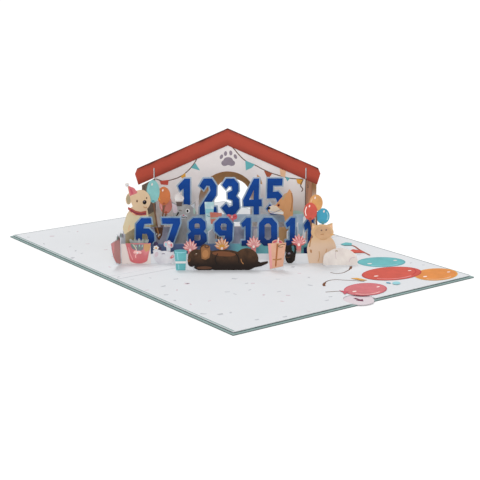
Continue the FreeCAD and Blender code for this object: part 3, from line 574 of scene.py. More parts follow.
# Places and heights that the prints share with the pieces they lie on
ROOF_PEAK_AT = 47.8
ROOF_PEAK_HEIGHT = 75.0
ROOF_SLOPE = math.radians(24.0)
ROOF_DEPTH = 11.2
CREAM_DOG = (1.6, 41.0)
GREY_CAT = (30.4, 33.0)
TAN_DOG = (91.4, 41.0)
YELLOW_CAT = (123.6, 25.6)
WHITE_DOG = (136.4, 10.8)
BLACK_CAT = (103.6, 15.0)
LONG_DOG = (71.0, 15.5)
WHITE_PUP = (26.4, 9.5)
BUCKET = (11.0, 12.6)
GIFT = (101.4, 17.0)
CUP = (42.4, 13.0)
NAVY_GIFT = (20.6, 14.0)
POSY = (29.4, 14.4)
SMALL_CUP = (46.3, 33.2)
SMALL_PARCEL = (50.4, 26.7)
SMALL_BOW = (60.5, 25.6)
FLOWER_RADIUS = 4.8
FLOWERS = [("flower_1", 42.8, 7.4, 1, "pink"), ("flower_2", 62.3, 8.4, 1, "orange"),
           ("flower_3", 81.8, 9.4, 1, "pink"), ("flower_4", 109.6, 10.4, -1, "red")]


class POPUP_OT_sheets(bpy.types.Operator):
    """Cover, tape, inner sheet with lines of the cover's border and of painted shade along its fold and edges, and
    the sliding note card
    """
    bl_idname = "popup.sheets"
    bl_label = "Folded sheets"

    def execute(self, context):
        finish_node("cover", cover_material())
        finish_node("liner", plain_card("liner_print", colours().white, 0.015, 60))
        # The tape's dark grey-teal is painted shade in the gap between the inner sheet and the cover.
        tape = plain_card("tape_film", tone(104, 124, 122), 0.03)
        for name in ("tape_far", "tape_middle", "tape_left", "tape_right"):
            finish_node(name, tape)
        finish_node("note_card", plain_card("note_stock", tone(218, 206, 211), 0.02))
        low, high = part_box("liner")
        left, near, right, far = low.x / MM + 0.5, low.y / MM + 0.5, high.x / MM - 0.5, high.y / MM - 0.5
        strip = Print("strip_line", sheet_face(LINER_TOP))
        # Painted shade of the fold's crease: a grey line across the sheet.
        strip.line([(left, -7.7), (0, -7.7), (right, -7.7)], 0.6, "fold")
        # Along the edges: a pale teal band of the cover's border, and dark teal lines of the cover's border
        # darkened with painted shade at the step down to it.
        strip.line([(left, near), (left, 0), (left, far)], 0.7, "margin")
        strip.line([(left + 0.5, near), (left + 0.5, 0), (left + 0.5, far)], 0.3, "edge")
        strip.line([(left, far), (0, far), (right, far)], 0.5, "edge")
        strip.line([(right, far), (right, 0), (right, near)], 0.5, "edge")
        strip.finish("white_card")
        return {"FINISHED"}


class POPUP_OT_tab(bpy.types.Operator):
    """Printed arrow on the round tab of the note card"""
    bl_idname = "popup.tab"
    bl_label = "Tab print"

    def execute(self, context):
        low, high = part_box("note_card")
        tab = Print("tab_print", sheet_face(high.z))
        x, y = (low.x + high.x) / 2 / MM, -121.4
        tab.shape([(x - 2.6, y - 0.4), (x, y - 4.0), (x + 2.6, y - 0.4)], "plum")
        tab.shape([(x - 0.9, y - 0.5), (x + 0.9, y - 0.5), (x + 0.9, y + 3.4), (x - 0.9, y + 3.4)], "plum")
        tab.finish("white_card", "note")
        return {"FINISHED"}


class POPUP_OT_lattice(bpy.types.Operator):
    """Cross slices and the rails that carry the figures"""
    bl_idname = "popup.lattice"
    bl_label = "Lattice"

    def execute(self, context):
        finish_node("left_cross", left_wall_material())
        finish_node("right_cross", right_wall_material())
        white = plain_card("bare_card", colours().white, 0.02)
        for name in ("middle_cross", "second_rail", "front_rail"):
            finish_node(name, white)
        finish_node("mid_rail", washed("mid_rail_print", tone(178, 172, 186), tone(132, 134, 152), 9))
        self.side_bucket()
        self.between_numbers()
        return {"FINISHED"}

    def side_bucket(self):
        """The bucket's other side, on the left cross slice."""
        bucket = Print("side_bucket_print", cross_face(0))
        bucket.shape([(-14.9, 16.2), (-11.6, 7.2), (-7.7, 2.5), (-2.5, 0.4), (-0.8, 0.4), (-0.8, 16.2)],
                     "side_pink")
        bucket.shape([(-14.9, 16.2), (-12.6, 9.6), (-10.2, 9.2), (-9.5, 16.2)], "rose")
        bucket.line([(-13.8, 13.4), (-11.0, 7.0), (-7, 2.9)], 0.7, "pink")
        bucket.finish("pink")
        leaves = Print("side_leaf_print", cross_face(0))
        for v, z, tint in ((-5, 17.2, "leaf"), (-2.6, 16.6, "brown"), (0.6, 17.6, "leaf"), (3.4, 16.8, "grey")):
            leaves.oval(v, z, 0.9, 1.5, tint, 20)
        leaves.oval(-3.7, 18.1, 0.5, 0.6, "white")
        leaves.finish("leaf")

    def between_numbers(self):
        """What the middle rail shows between the lower numbers."""
        rail = Print("mid_rail_pattern", row_face("mid", 0))
        rail.shape([(48.9, 5.4), (54.4, 5.4), (54.2, 16.8), (49.2, 16.8)], "pale")
        for x, tint in ((49.7, "rust"), (51.3, "brown"), (52.9, "rust")):
            rail.line([(x, 5.8), (x + 0.2, 11), (x, 16.4)], 0.9, tint)
        rail.shape([(39.2, 3.0), (43.6, 3.0), (43.8, 12.0), (42.4, 16.8), (40.6, 16.8), (39.4, 9.5)], "fleece")
        rail.oval(41.6, 12.7, 1.1, 0.7, "dusk", 8)
        rail.shape([(11.2, 16.9), (17.0, 16.9), (16.2, 11.6), (14.6, 8.6), (13.4, 8.8), (12.2, 12.4)], "brown")
        rail.line([(13.0, 16.8), (13.8, 13.4), (14.2, 10.0)], 0.7, "tan")
        rail.shape([(88.4, 5.0), (95.6, 5.0), (95.0, 16.8), (89.6, 16.8)], "sand")
        for x, z in ((12.9, 13.0), (13.9, 12.0), (14.9, 12.6)):
            rail.line([(x, z), (x - 0.2, z - 1.3)], 0.5, "white")
        rail.oval(76.5, 12.5, 2.4, 3.4, "fleece", 12)
        rail.finish("white_card")


class POPUP_OT_house(bpy.types.Operator):
    """House walls and roof, the paw mark and the bunting"""
    bl_idname = "popup.house"
    bl_label = "House"

    def execute(self, context):
        finish_node("house_front", wall_material())
        finish_node("house_roof", roof_material())
        wood = colours().wood
        finish_node("house_back", washed("wood_print", scaled(wood, 1.12), scaled(wood, 0.8), 14, 0.8,
                                         tone(222, 216, 212), 18, 34))
        self.paw()
        self.bunting()
        self.behind()
        self.eave_string()
        return {"FINISHED"}

    def paw(self):
        """Grey paw in the gable: one pad and four toes."""
        paw = Print("paw_print", row_face("house", 0))
        paw.oval(46.0, 52.2, 2.4, 2.0, "grey", 12)
        paw.oval(50.2, 52.2, 2.4, 2.0, "grey", -12)
        paw.oval(48.1, 53.4, 3.2, 2.7, "grey")
        for x, z, tilt in ((43.7, 56.3, 24), (46.4, 58.4, 6), (49.8, 58.8, -6), (52.8, 56.4, -26)):
            paw.oval(x, z, 1.0, 1.6, "grey", -tilt)
        paw.finish("wall_card")

    def bunting(self):
        """Two strings of small flags that hang from the roof's inner edge."""
        width = sizes().string_width / MM
        line = Print("bunting_print", row_face("house", 0))
        line.line([(27.7, 54.9), (26.5, 52.8), (24.1, 49.5), (20.4, 45.7), (16.6, 43.1), (11.5, 41.2),
                   (5.8, 40.2), (0.9, 41.7)], width, "brown")
        line.line([(49.5, 64.0), (52.1, 61.2), (55.3, 57.4), (59.3, 53.7), (65.1, 51.0), (71.2, 47.7),
                   (75.8, 45.6), (80.5, 44.1), (85.7, 42.5), (90.8, 41.7), (97.3, 41.3)], width, "brown")
        line.shape([(26.7, 52.2), (23.8, 49.0), (29.8, 47.2)], "teal")
        line.shape([(17.0, 43.2), (20.2, 45.8), (20.4, 39.4)], "yellow")
        line.shape([(3.3, 40.4), (9.2, 41.0), (8.7, 37.6), (4.0, 38.0)], "red")
        line.shape([(59.2, 53.8), (65.5, 51.2), (63.2, 48.8), (59.6, 47.2)], "teal")
        line.shape([(71.4, 47.1), (76.9, 45.2), (74.0, 41.3)], "rust")
        line.shape([(81.4, 50.2), (86.0, 48.6), (85.2, 42.2), (82.3, 43.5)], "peach")
        line.shape([(81.6, 50.2), (85.4, 49.0), (83.4, 47.4)], "red")
        line.shape([(85.1, 43.2), (88.6, 42.1), (86.7, 39.9)], "teal")
        line.shape([(92.5, 41.6), (97.1, 40.9), (96.2, 37.6), (93.3, 38.6)], "yellow")
        line.line([(97.1, 40.8), (95.5, 37.0), (96.9, 34.6), (96.1, 33.0)], width, "brown")
        line.finish("wall_card")

    def behind(self):
        """Brown and white figure, and a shrub, printed on the wall behind the numbers."""
        back = Print("wall_figures", row_face("house", 0))
        back.shape([(67.0, 15.0), (70.6, 14.6), (68.6, 20.0), (67.0, 25.2)], "chestnut")
        back.shape([(67.0, 27.6), (69.2, 27.4), (74.2, 17.6), (71.8, 15.8)], "white")
        back.oval(93.6, 17.0, 5.2, 3.2, "mint", -12)
        back.shape([(66.9, 44.6), (66.9, 38.4), (70.4, 38.0), (69.2, 42.6)], "sand")
        back.finish("wall_card")

    def eave_string(self):
        """Loose end of the bunting on the side wall."""
        side = Print("side_wall_string", cross_face(RIGHT_CROSS))
        house = ROWS["house"]
        side.line([(house + 2.0, 41.0), (house + 2.4, 37.0), (house + 5.2, 34.8), (house + 7.0, 37.4),
                   (house + 5.0, 39.4), (house + 3.2, 36.0), (house + 2.4, 30.0), (house + 2.0, 22.0)],
                  0.7, "brown")
        side.finish("wood_brown")


class POPUP_OT_numbers(bpy.types.Operator):
    """Blue numbers and the pale backing behind them"""
    bl_idname = "popup.numbers"
    bl_label = "Numbers"

    def execute(self, context):
        blue = colours().number
        upper = washed("upper_number_print", scaled(blue, 1.15), scaled(blue, 0.85), 9)
        lower = washed("lower_number_print", scaled(blue, 1.1), scaled(blue, 0.9), 8, 0.0, tone(22, 38, 80), 4, 20)
        for name in NODES:
            if "digit" in name:
                finish_node(name, upper if "upper" in name else lower)
        halo = colours().halo
        finish_node("upper_backing", washed("upper_halo", tone(190, 202, 212), halo, 9, 0.0,
                                            tone(160, 180, 184), STRIP_FROM, STRIP_TO))
        finish_node("lower_backing", lower_halo_material(scaled(halo, 1.05), tone(112, 138, 160)))
        return {"FINISHED"}


class POPUP_OT_dogs(bpy.types.Operator):
    """Cream, tan, brown and white dogs"""
    bl_idname = "popup.dogs"
    bl_label = "Dogs"

    def execute(self, context):
        self.cream_dog()
        self.tan_dog()
        self.long_dog()
        self.white_dog()
        self.white_pup()
        return {"FINISHED"}

    def cream_dog(self):
        finish_node("cream_dog", washed("cream_fur", tone(226, 196, 162), tone(216, 186, 150), 8, 0.5,
                                        tone(222, 206, 172), 24, 28))
        dog = Figure("cream_dog_print", "mid", *CREAM_DOG)
        dog.patch([(-0.185, 0.87), (-0.155, 0.94), (-0.125, 0.9), (-0.118, 0.83), (-0.135, 0.785), (-0.165, 0.785)],
                  "shade")
        dog.patch([(-0.128, 0.905), (-0.02, 0.95), (-0.008, 0.968), (-0.06, 1.035), (-0.15, 1.07)], "pink")
        dog.patch([(-0.1, 0.935), (-0.07, 0.95), (-0.1, 1.02), (-0.13, 1.03)], "rim_pink")
        dog.spot(-0.165, 1.08, 0.028, 0.028, "white")
        dog.spot(-0.158, 1.074, 0.012, 0.012, "speck_grey")
        dog.spot(-0.018, 0.828, 0.012, 0.02, "brown")
        dog.spot(0.131, 0.876, 0.009, 0.014, "brown")
        dog.spot(0.098, 0.81, 0.03, 0.034, "black", -20)
        dog.spot(0.092, 0.822, 0.009, 0.009, "dusk")
        dog.stroke([(0.08, 0.74), (0.105, 0.722), (0.135, 0.735)], 0.4, "tan")
        dog.patch([(-0.16, 0.735), (-0.108, 0.718), (-0.043, 0.676), (0.033, 0.66), (0.12, 0.676), (0.12, 0.61),
                   (0.04, 0.6), (-0.044, 0.61), (-0.109, 0.65), (-0.16, 0.7)], "scarf")
        dog.stroke([(-0.12, 0.69), (-0.04, 0.64), (0.05, 0.625), (0.11, 0.636)], 0.5, "plum")
        dog.patch([(-0.1, 0.655), (-0.05, 0.62), (-0.02, 0.595), (-0.09, 0.61)], "peach")
        dog.stroke([(-0.14, 0.45), (-0.155, 0.38), (-0.14, 0.3)], 0.5, "peach")
        dog.finish("cream")

    def tan_dog(self):
        finish_node("tan_dog", washed("tan_fur", tone(214, 158, 112), tone(204, 144, 96), 9, 0.5,
                                      tone(172, 128, 84), 10, 20))
        dog = Figure("tan_dog_print", "mid", *TAN_DOG)
        dog.patch([(0.005, 0.86), (0.03, 0.9), (0.09, 0.955), (0.05, 0.88), (0.03, 0.84)], "shade")
        dog.stroke([(0.16, 0.95), (0.175, 0.86), (0.168, 0.74), (0.15, 0.66)], 0.9, "tan")
        dog.patch([(-0.19, 0.735), (-0.12, 0.76), (-0.07, 0.748), (-0.024, 0.705), (0.045, 0.65), (0.04, 0.61),
                   (-0.1, 0.623), (-0.165, 0.64), (-0.188, 0.69)], "pale")
        dog.patch([(-0.18, 0.68), (-0.09, 0.652), (0.03, 0.65), (0.04, 0.614), (-0.1, 0.624), (-0.165, 0.64)],
                  "white")
        dog.stroke([(-0.165, 0.655), (-0.1, 0.648), (-0.05, 0.668), (0.008, 0.694)], 0.45, "grey")
        dog.spot(-0.183, 0.712, 0.02, 0.022, "black")
        dog.spot(-0.036, 0.76, 0.022, 0.024, "rust")
        dog.spot(-0.038, 0.757, 0.011, 0.013, "black")
        dog.stroke([(-0.06, 0.79), (-0.035, 0.8), (-0.01, 0.79)], 0.4, "sand")
        dog.patch([(0.12, 0.42), (0.16, 0.42), (0.156, 0.13), (0.108, 0.13)], "sand")
        dog.finish("tan")

    def long_dog(self):
        finish_node("long_dog", washed("brown_fur", tone(88, 62, 44), tone(60, 44, 32), 4, 0.3,
                                       tone(38, 29, 25), 2, 10.5))
        dog = Figure("long_dog_print", "front", *LONG_DOG)
        dog.spot(-0.16, 0.66, 0.46, 0.1, "chestnut", -4)
        dog.patch([(-1.05, 0.9), (-0.94, 0.99), (-0.82, 1.03), (-0.7, 0.97), (-0.69, 0.7), (-0.73, 0.5),
                   (-0.87, 0.42), (-1.03, 0.47)], "ear")
        dog.spot(-0.88, 0.66, 0.12, 0.16, "tan", -8)
        dog.spot(-0.82, 0.955, 0.1, 0.075, "brown")
        dog.spot(-0.82, 0.96, 0.04, 0.03, "ear")
        dog.spot(-1.25, 0.63, 0.06, 0.045, "brown", 20)
        dog.spot(-1.25, 0.63, 0.03, 0.022, "black", 20)
        dog.spot(-1.23, 0.665, 0.03, 0.01, "pale", 20)
        dog.spot(-1.52, 0.42, 0.055, 0.09, "chestnut", -14)
        dog.spot(-1.52, 0.46, 0.03, 0.035, "black")
        dog.stroke([(-1.44, 0.24), (-1.3, 0.2), (-1.15, 0.26)], 0.5, "black")
        dog.spot(-0.93, 0.1, 0.3, 0.06, "brown")
        dog.stroke([(0.5, 0.46), (0.53, 0.34), (0.6, 0.25)], 0.45, "tan")
        dog.stroke([(-0.42, 0.2), (-0.5, 0.45), (-0.4, 0.68)], 0.5, "black")
        dog.stroke([(0.3, 0.68), (0.4, 0.52), (0.42, 0.3)], 0.5, "black")
        dog.finish("dark_brown")

    def white_dog(self):
        finish_node("white_dog", washed("white_fur", tone(238, 230, 222), tone(222, 212, 206), 8, 0.3))
        dog = Figure("white_dog_print", "white_dog", *WHITE_DOG, layer=0.5)
        dog.stroke([(-0.25, 0.84), (-0.29, 0.6), (-0.24, 0.36)], 0.5, "fleece")
        dog.stroke([(-0.3, 0.82), (-0.22, 0.85), (-0.17, 0.8)], 0.6, "shade")
        dog.stroke([(0.5, 0.2), (0.6, 0.4), (0.85, 0.46)], 0.4, "speck_pink")
        dog.finish("white_fur")

    def white_pup(self):
        finish_node("white_pup", washed("pup_fur", tone(228, 226, 228), tone(206, 204, 210), 6, 0.3))
        pup = Figure("white_pup_print", "second", *WHITE_PUP)
        pup.spot(-0.46, 0.62, 0.12, 0.18, "speck_pink", -20)
        pup.stroke([(-0.12, 0.64), (-0.03, 0.67), (0.08, 0.655)], 0.45, "dusk")
        pup.patch([(0.46, 0.5), (0.62, 0.6), (0.66, 0.42), (0.5, 0.32), (0.4, 0.36)], "pink")
        pup.patch([(0.5, 0.5), (0.6, 0.55), (0.58, 0.42)], "petal")
        pup.finish("white_fur")


class POPUP_OT_cats(bpy.types.Operator):
    """Grey, yellow and black cats"""
    bl_idname = "popup.cats"
    bl_label = "Cats"

    def execute(self, context):
        self.grey_cat()
        self.yellow_cat()
        self.black_cat()
        return {"FINISHED"}

    def grey_cat(self):
        finish_node("grey_cat", washed("grey_fur", tone(172, 170, 168), tone(142, 140, 142), 6, 0.4))
        finish_node("cake_hat", washed("cake_print", tone(236, 230, 226), tone(206, 196, 194), 4, 0,
                                       tone(96, 82, 78), 33.2, 34.0))
        cat = Figure("grey_cat_print", "mid", *GREY_CAT)
        cat.patch([(-0.235, 0.985), (-0.15, 0.95), (-0.13, 0.88), (-0.18, 0.82), (-0.215, 0.86)], "speck_pink")
        cat.spot(-0.17, 0.84, 0.045, 0.05, "speck_pink")
        cat.patch([(0.12, 0.94), (0.2, 0.98), (0.205, 0.87)], "speck_grey")
        cat.stroke([(-0.1, 0.84), (-0.075, 0.85), (-0.045, 0.83)], 0.35, "brown")
        cat.patch([(-0.115, 0.82), (-0.095, 0.8), (-0.135, 0.735), (-0.16, 0.74)], "black")
        cat.spot(0.067, 0.835, 0.04, 0.042, "white")
        cat.spot(0.063, 0.832, 0.02, 0.028, "black")
        cat.spot(-0.02, 0.725, 0.075, 0.045, "speck_grey")
        cat.spot(-0.012, 0.748, 0.018, 0.012, "rim_pink")
        cat.stroke([(-0.075, 0.7), (-0.041, 0.716), (-0.014, 0.7)], 0.4, "black")
        cat.stroke([(-0.014, 0.7), (0.02, 0.716), (0.05, 0.7)], 0.4, "black")
        cat.spot(0.195, 0.83, 0.02, 0.06, "mint")
        cat.finish("grey")
        cake = Figure("cake_hat_print", "mid", *GREY_CAT, layer=2)
        cake.stroke([(-0.13, 1.055), (-0.09, 1.075), (-0.05, 1.055), (-0.025, 1.07)], 0.5, "white")
        cake.finish("peach")

    def yellow_cat(self):
        finish_node("yellow_cat", washed("yellow_fur", tone(222, 186, 142), tone(210, 172, 130), 9, 0.4,
                                         tone(220, 190, 164), 10, 18))
        cat = Figure("yellow_cat_print", "second", *YELLOW_CAT)
        cat.spot(0.03, 0.755, 0.21, 0.165, "cat_face")
        cat.patch([(-0.23, 0.93), (-0.17, 0.92), (-0.21, 0.84)], "peach")
        cat.patch([(0.18, 0.93), (0.24, 0.95), (0.235, 0.86)], "peach")
        cat.stroke([(0.2, 0.72), (0.27, 0.71), (0.3, 0.69)], 0.4, "yellow")
        for x, y in ((-0.012, 0.818), (0.1, 0.828)):
            cat.spot(x, y, 0.021, 0.02, "brown")
            cat.spot(x - 0.007, y + 0.007, 0.007, 0.006, "highlight")
        cat.stroke([(-0.033, 0.704), (0.0, 0.716), (0.05, 0.704)], 0.35, "tan")
        cat.stroke([(0.02, 0.75), (0.03, 0.735), (0.045, 0.745)], 0.35, "sand")
        cat.stroke([(-0.05, 0.606), (0.033, 0.588), (0.12, 0.606)], 0.45, "sand")
        cat.stroke([(-0.235, 0.7), (-0.27, 0.56), (-0.29, 0.41)], 0.6, "tan")
        cat.spot(-0.255, 0.3, 0.02, 0.045, "tan", 10)
        cat.stroke([(-0.06, 0.3), (-0.05, 0.16), (-0.08, 0.04)], 0.4, "sand")
        cat.stroke([(0.12, 0.36), (0.1, 0.2), (0.12, 0.05)], 0.4, "sand")
        cat.finish("yellow")

    def black_cat(self):
        finish_node("black_cat", washed("black_fur", tone(52, 42, 36), tone(30, 26, 24), 5))
        cat = Figure("black_cat_print", "second", *BLACK_CAT)
        cat.spot(0.0, 0.42, 0.06, 0.04, "dusk", 12)
        cat.stroke([(-0.16, 0.3), (-0.05, 0.24), (0.05, 0.27)], 0.35, "brown")
        cat.spot(0.14, 0.8, 0.03, 0.06, "brown", 8)
        cat.finish("black")


class POPUP_OT_presents(bpy.types.Operator):
    """Bucket with leaves, parcels, cups, bows and ribboned gift"""
    bl_idname = "popup.presents"
    bl_label = "Presents"

    def execute(self, context):
        self.bucket()
        self.cups()
        self.gift()
        self.parcels()
        return {"FINISHED"}

    def bucket(self):
        finish_node("bucket_card", plain_card("bucket_card_stock", tone(228, 218, 212), 0.03))
        finish_node("bucket", washed("bucket_print", tone(218, 134, 138), tone(200, 112, 116), 6, 0,
                                     tone(206, 108, 112), 1, 7))
        finish_node("bucket_leaves", washed("leaf_print", tone(170, 174, 172), tone(112, 124, 118), 2.5, 0.5))
        bucket = Figure("bucket_print_piece", "second", *BUCKET, layer=2)
        bucket.patch([(0.28, 1.0), (0.6, 1.0), (0.55, 0.7), (0.36, 0.6), (0.26, 0.78)], "sand")
        bucket.patch([(-0.4, 0.98), (0.26, 0.98), (0.24, 0.72), (0.02, 0.62), (-0.3, 0.76)], "dusk")
        for x, y, lean in ((-0.26, 0.88, 30), (-0.12, 0.84, 14), (0.04, 0.86, -6), (0.18, 0.84, -22)):
            bucket.spot(x, y, 0.045, 0.15, "leaf", lean)
            bucket.spot(x + 0.02, y + 0.06, 0.02, 0.07, "mint", lean)
        bucket.stroke([(-0.05, 0.58), (-0.12, 0.78), (-0.22, 0.96)], 0.5, "pale")
        bucket.spot(-0.14, 0.6, 0.11, 0.07, "petal", 24)
        bucket.spot(0.05, 0.59, 0.11, 0.07, "petal", -24)
        bucket.spot(-0.05, 0.555, 0.05, 0.05, "white")
        bucket.stroke([(-0.07, 0.54), (-0.14, 0.42), (-0.13, 0.3)], 0.5, "petal")
        bucket.stroke([(-0.48, 0.84), (-0.4, 0.5), (-0.28, 0.2)], 0.6, "rose")
        bucket.finish("pink")

    def cups(self):
        teal = colours().teal
        finish_node("party_cup", washed("cup_print", scaled(teal, 1.05), scaled(teal, 0.88), 6))
        cup = Figure("cup_print_piece", "front", *CUP)
        cup.patch([(-0.236, 0.33), (0.236, 0.33), (0.25, 0.43), (-0.25, 0.43)], "white")
        cup.stroke([(-0.26, 0.88), (0.0, 0.845), (0.26, 0.88)], 0.5, "sky")
        cup.spot(0, 0.94, 0.26, 0.035, "rim_teal")
        cup.stroke([(-0.15, 0.82), (-0.13, 0.65), (-0.12, 0.48)], 0.5, "sky")
        cup.stroke([(-0.1, 0.28), (-0.09, 0.16), (-0.09, 0.04)], 0.5, "sky")
        cup.finish("teal_print")
        finish_node("small_cup", washed("small_cup_print", tone(222, 236, 238), tone(176, 214, 218), 5))
        small = Figure("small_cup_band", "mid", *SMALL_CUP)
        small.patch([(-0.075, 0.78), (0.075, 0.78), (0.08, 0.87), (-0.08, 0.87)], "sky")
        small.stroke([(-0.05, 0.74), (0.0, 0.72), (0.05, 0.74)], 0.4, "rim_teal")
        small.finish("teal_print")

    def gift(self):
        finish_node("ribbon_gift", washed("gift_print", tone(226, 176, 148), tone(214, 160, 134), 6))
        gift = Figure("gift_ribbon_piece", "front", *GIFT)
        gift.patch([(-0.36, 0.955), (-0.27, 0.96), (-0.22, 0.09), (-0.29, 0.06)], "rose")
        gift.patch([(-0.07, 0.965), (0.0, 0.97), (-0.07, 0.13), (-0.125, 0.12)], "tan")
        gift.stroke([(-0.045, 0.95), (-0.08, 0.55), (-0.105, 0.15)], 0.4, "rust")
        gift.stroke([(-0.2, 0.39), (-0.05, 0.38), (0.11, 0.415)], 0.8, "tan")
        gift.patch([(-0.02, 0.88), (0.12, 0.96), (0.25, 0.93), (0.1, 0.85)], "peach")
        gift.stroke([(-0.02, 0.88), (0.12, 0.935), (0.24, 0.935)], 0.35, "brown")
        gift.stroke([(-0.02, 0.87), (0.08, 0.845), (0.15, 0.86)], 0.35, "brown")
        gift.spot(-0.13, 1.04, 0.08, 0.035, "rim_pink", 24)
        gift.spot(0.05, 1.04, 0.08, 0.035, "rim_pink", -24)
        gift.stroke([(-0.02, 1.0), (-0.01, 1.1), (-0.0, 1.17)], 0.5, "white")
        gift.finish("peach")

    def parcels(self):
        finish_node("navy_gift", washed("navy_print", tone(72, 62, 92), tone(46, 40, 66), 5))
        parcel = Figure("parcel_print_piece", "second", *NAVY_GIFT, layer=-1)
        for turn in range(6):
            angle = math.radians(60 * turn + 15)
            parcel.spot(0.085 + 0.075 * math.cos(angle), 0.69 + 0.075 * math.sin(angle), 0.05, 0.045, "white")
        parcel.spot(0.085, 0.69, 0.045, 0.045, "yellow")
        parcel.patch([(0.06, 0.36), (0.22, 0.46), (0.24, 0.3), (0.12, 0.24)], "black")
        parcel.finish("navy")
        finish_node("posy", washed("posy_print", tone(196, 222, 226), tone(226, 170, 178), 3))
        posy = Figure("posy_hearts", "second", *POSY, layer=-1)
        posy.spot(-0.11, 0.84, 0.05, 0.07, "sky")
        posy.spot(0.03, 0.9, 0.05, 0.05, "white")
        posy.spot(0.13, 0.8, 0.045, 0.07, "pink")
        posy.finish("teal_print")
        finish_node("small_parcel", washed("small_parcel_print", tone(222, 142, 122), tone(206, 120, 104), 4))
        small = Figure("small_parcel_band", "mid", *SMALL_PARCEL, layer=2)
        small.patch([(-0.12, 0.84), (0.13, 0.85), (0.132, 0.88), (-0.122, 0.87)], "mint")
        small.finish("orange_print")
        finish_node("small_bow", washed("small_bow_print", tone(234, 120, 126), tone(216, 90, 98), 3))
        bow = Figure("small_bow_knot", "mid", *SMALL_BOW)
        bow.spot(0.0, 0.915, 0.022, 0.028, "petal")
        bow.stroke([(-0.1, 0.93), (-0.06, 0.925), (-0.03, 0.915)], 0.35, "rim_red")
        bow.stroke([(0.1, 0.93), (0.06, 0.925), (0.03, 0.915)], 0.35, "rim_red")
        bow.finish("red_print")


class POPUP_OT_flowers(bpy.types.Operator):
    """Open flowers with pointed petals, each with a paler heart"""
    bl_idname = "popup.flowers"
    bl_label = "Flowers"

    def execute(self, context):
        tones = {"pink": (tone(226, 142, 138), tone(206, 110, 114)),
                 "orange": (tone(226, 168, 104), tone(212, 118, 88)),
                 "red": (tone(218, 120, 118), tone(196, 84, 84))}
        hearts = {"pink": "petal", "orange": "peach", "red": "rose"}
        for name, at, foot, layer, colour in FLOWERS:
            light, dark = tones[colour]
            finish_node(name, washed(name + "_petals", light, dark, 3, 0, tone(150, 176, 168), 4.5, foot))
            self.petals(name, at, foot, layer, hearts[colour])
        return {"FINISHED"}

    def petals(self, name, at, foot, layer, heart):
        """A paler middle on each petal, outer ones first, and a yellow base."""
        flower = Print(name + "_print", row_face("second", layer))
        base = foot + 0.3 * FLOWER_RADIUS
        for lean in (-70, 70, -46, 46, -23, 23, 0):
            turn = math.radians(lean)
            reach = FLOWER_RADIUS * (1.45 - abs(lean) / 160)
            along = Vector((-math.sin(turn), math.cos(turn)))
            aside = Vector((along.y, -along.x))
            middle = Vector((at, base))
            outline = [middle + along * reach * 0.2, middle + along * reach * 0.5 + aside * 0.8,
                       middle + along * reach * 0.86 + aside * 0.2, middle + along * reach * 0.62 - aside * 0.3]
            flower.shape([tuple(corner) for corner in outline], heart)
            stripe = [middle + along * reach * 0.55, middle + along * reach * 0.78, middle + along * reach * 0.95]
            flower.line([tuple(corner) for corner in stripe], 0.3, "highlight")
        flower.oval(at, base + 1.3, 1.7, 1.0, "yellow" if heart == "peach" else "rose")
        flower.oval(at, base - 0.2, 0.8, 0.9, "highlight")
        flower.finish("pink")


class POPUP_OT_balloons(bpy.types.Operator):
    """Standing balloons with their shine"""
    bl_idname = "popup.balloons"
    bl_label = "Balloons"

    def execute(self, context):
        tones = {"teal": tone(132, 190, 188), "amber": tone(200, 114, 66), "coral": tone(198, 118, 106),
                 "red": colours().red, "orange": tone(216, 158, 98), "blue": tone(66, 154, 182)}
        places = [("teal", "mid", -1, 11.0, 40.0, 7.2, "sky"),
                  ("amber", "mid", -2, 17.7, 37.0, 5.8, "yellow"),
                  ("coral", "mid", -3, 18.8, 31.2, 5.8, "rose"),
                  ("red", "second", -1, 116.4, 32.6, 5.4, "highlight"),
                  ("orange", "second", -2, 119.8, 37.8, 5.2, "peach"),
                  ("blue", "second", -3, 124.2, 29.4, 4.9, "sky")]
        for name, row, layer, x, z, half, shine in places:
            finish_node("balloon_" + name, balloon_material(name + "_balloon", tones[name], z - half))
            balloon = Print("balloon_" + name + "_shine", row_face(row, layer))
            side = 1 if name == "blue" else -1
            balloon.line([(x + side * 2.3, z + half * 0.55), (x + side * 3.1, z), (x + side * 2.5, z - half * 0.5)],
                         0.6, shine)
            balloon.oval(x + side * 0.6, z + half * 0.62, 0.45, 0.8, "highlight", -12)
            balloon.oval(x, z - half + 0.9, 0.9, 0.7, "rust" if name != "teal" and name != "blue" else "rim_teal")
            balloon.finish("red_print")
        return {"FINISHED"}


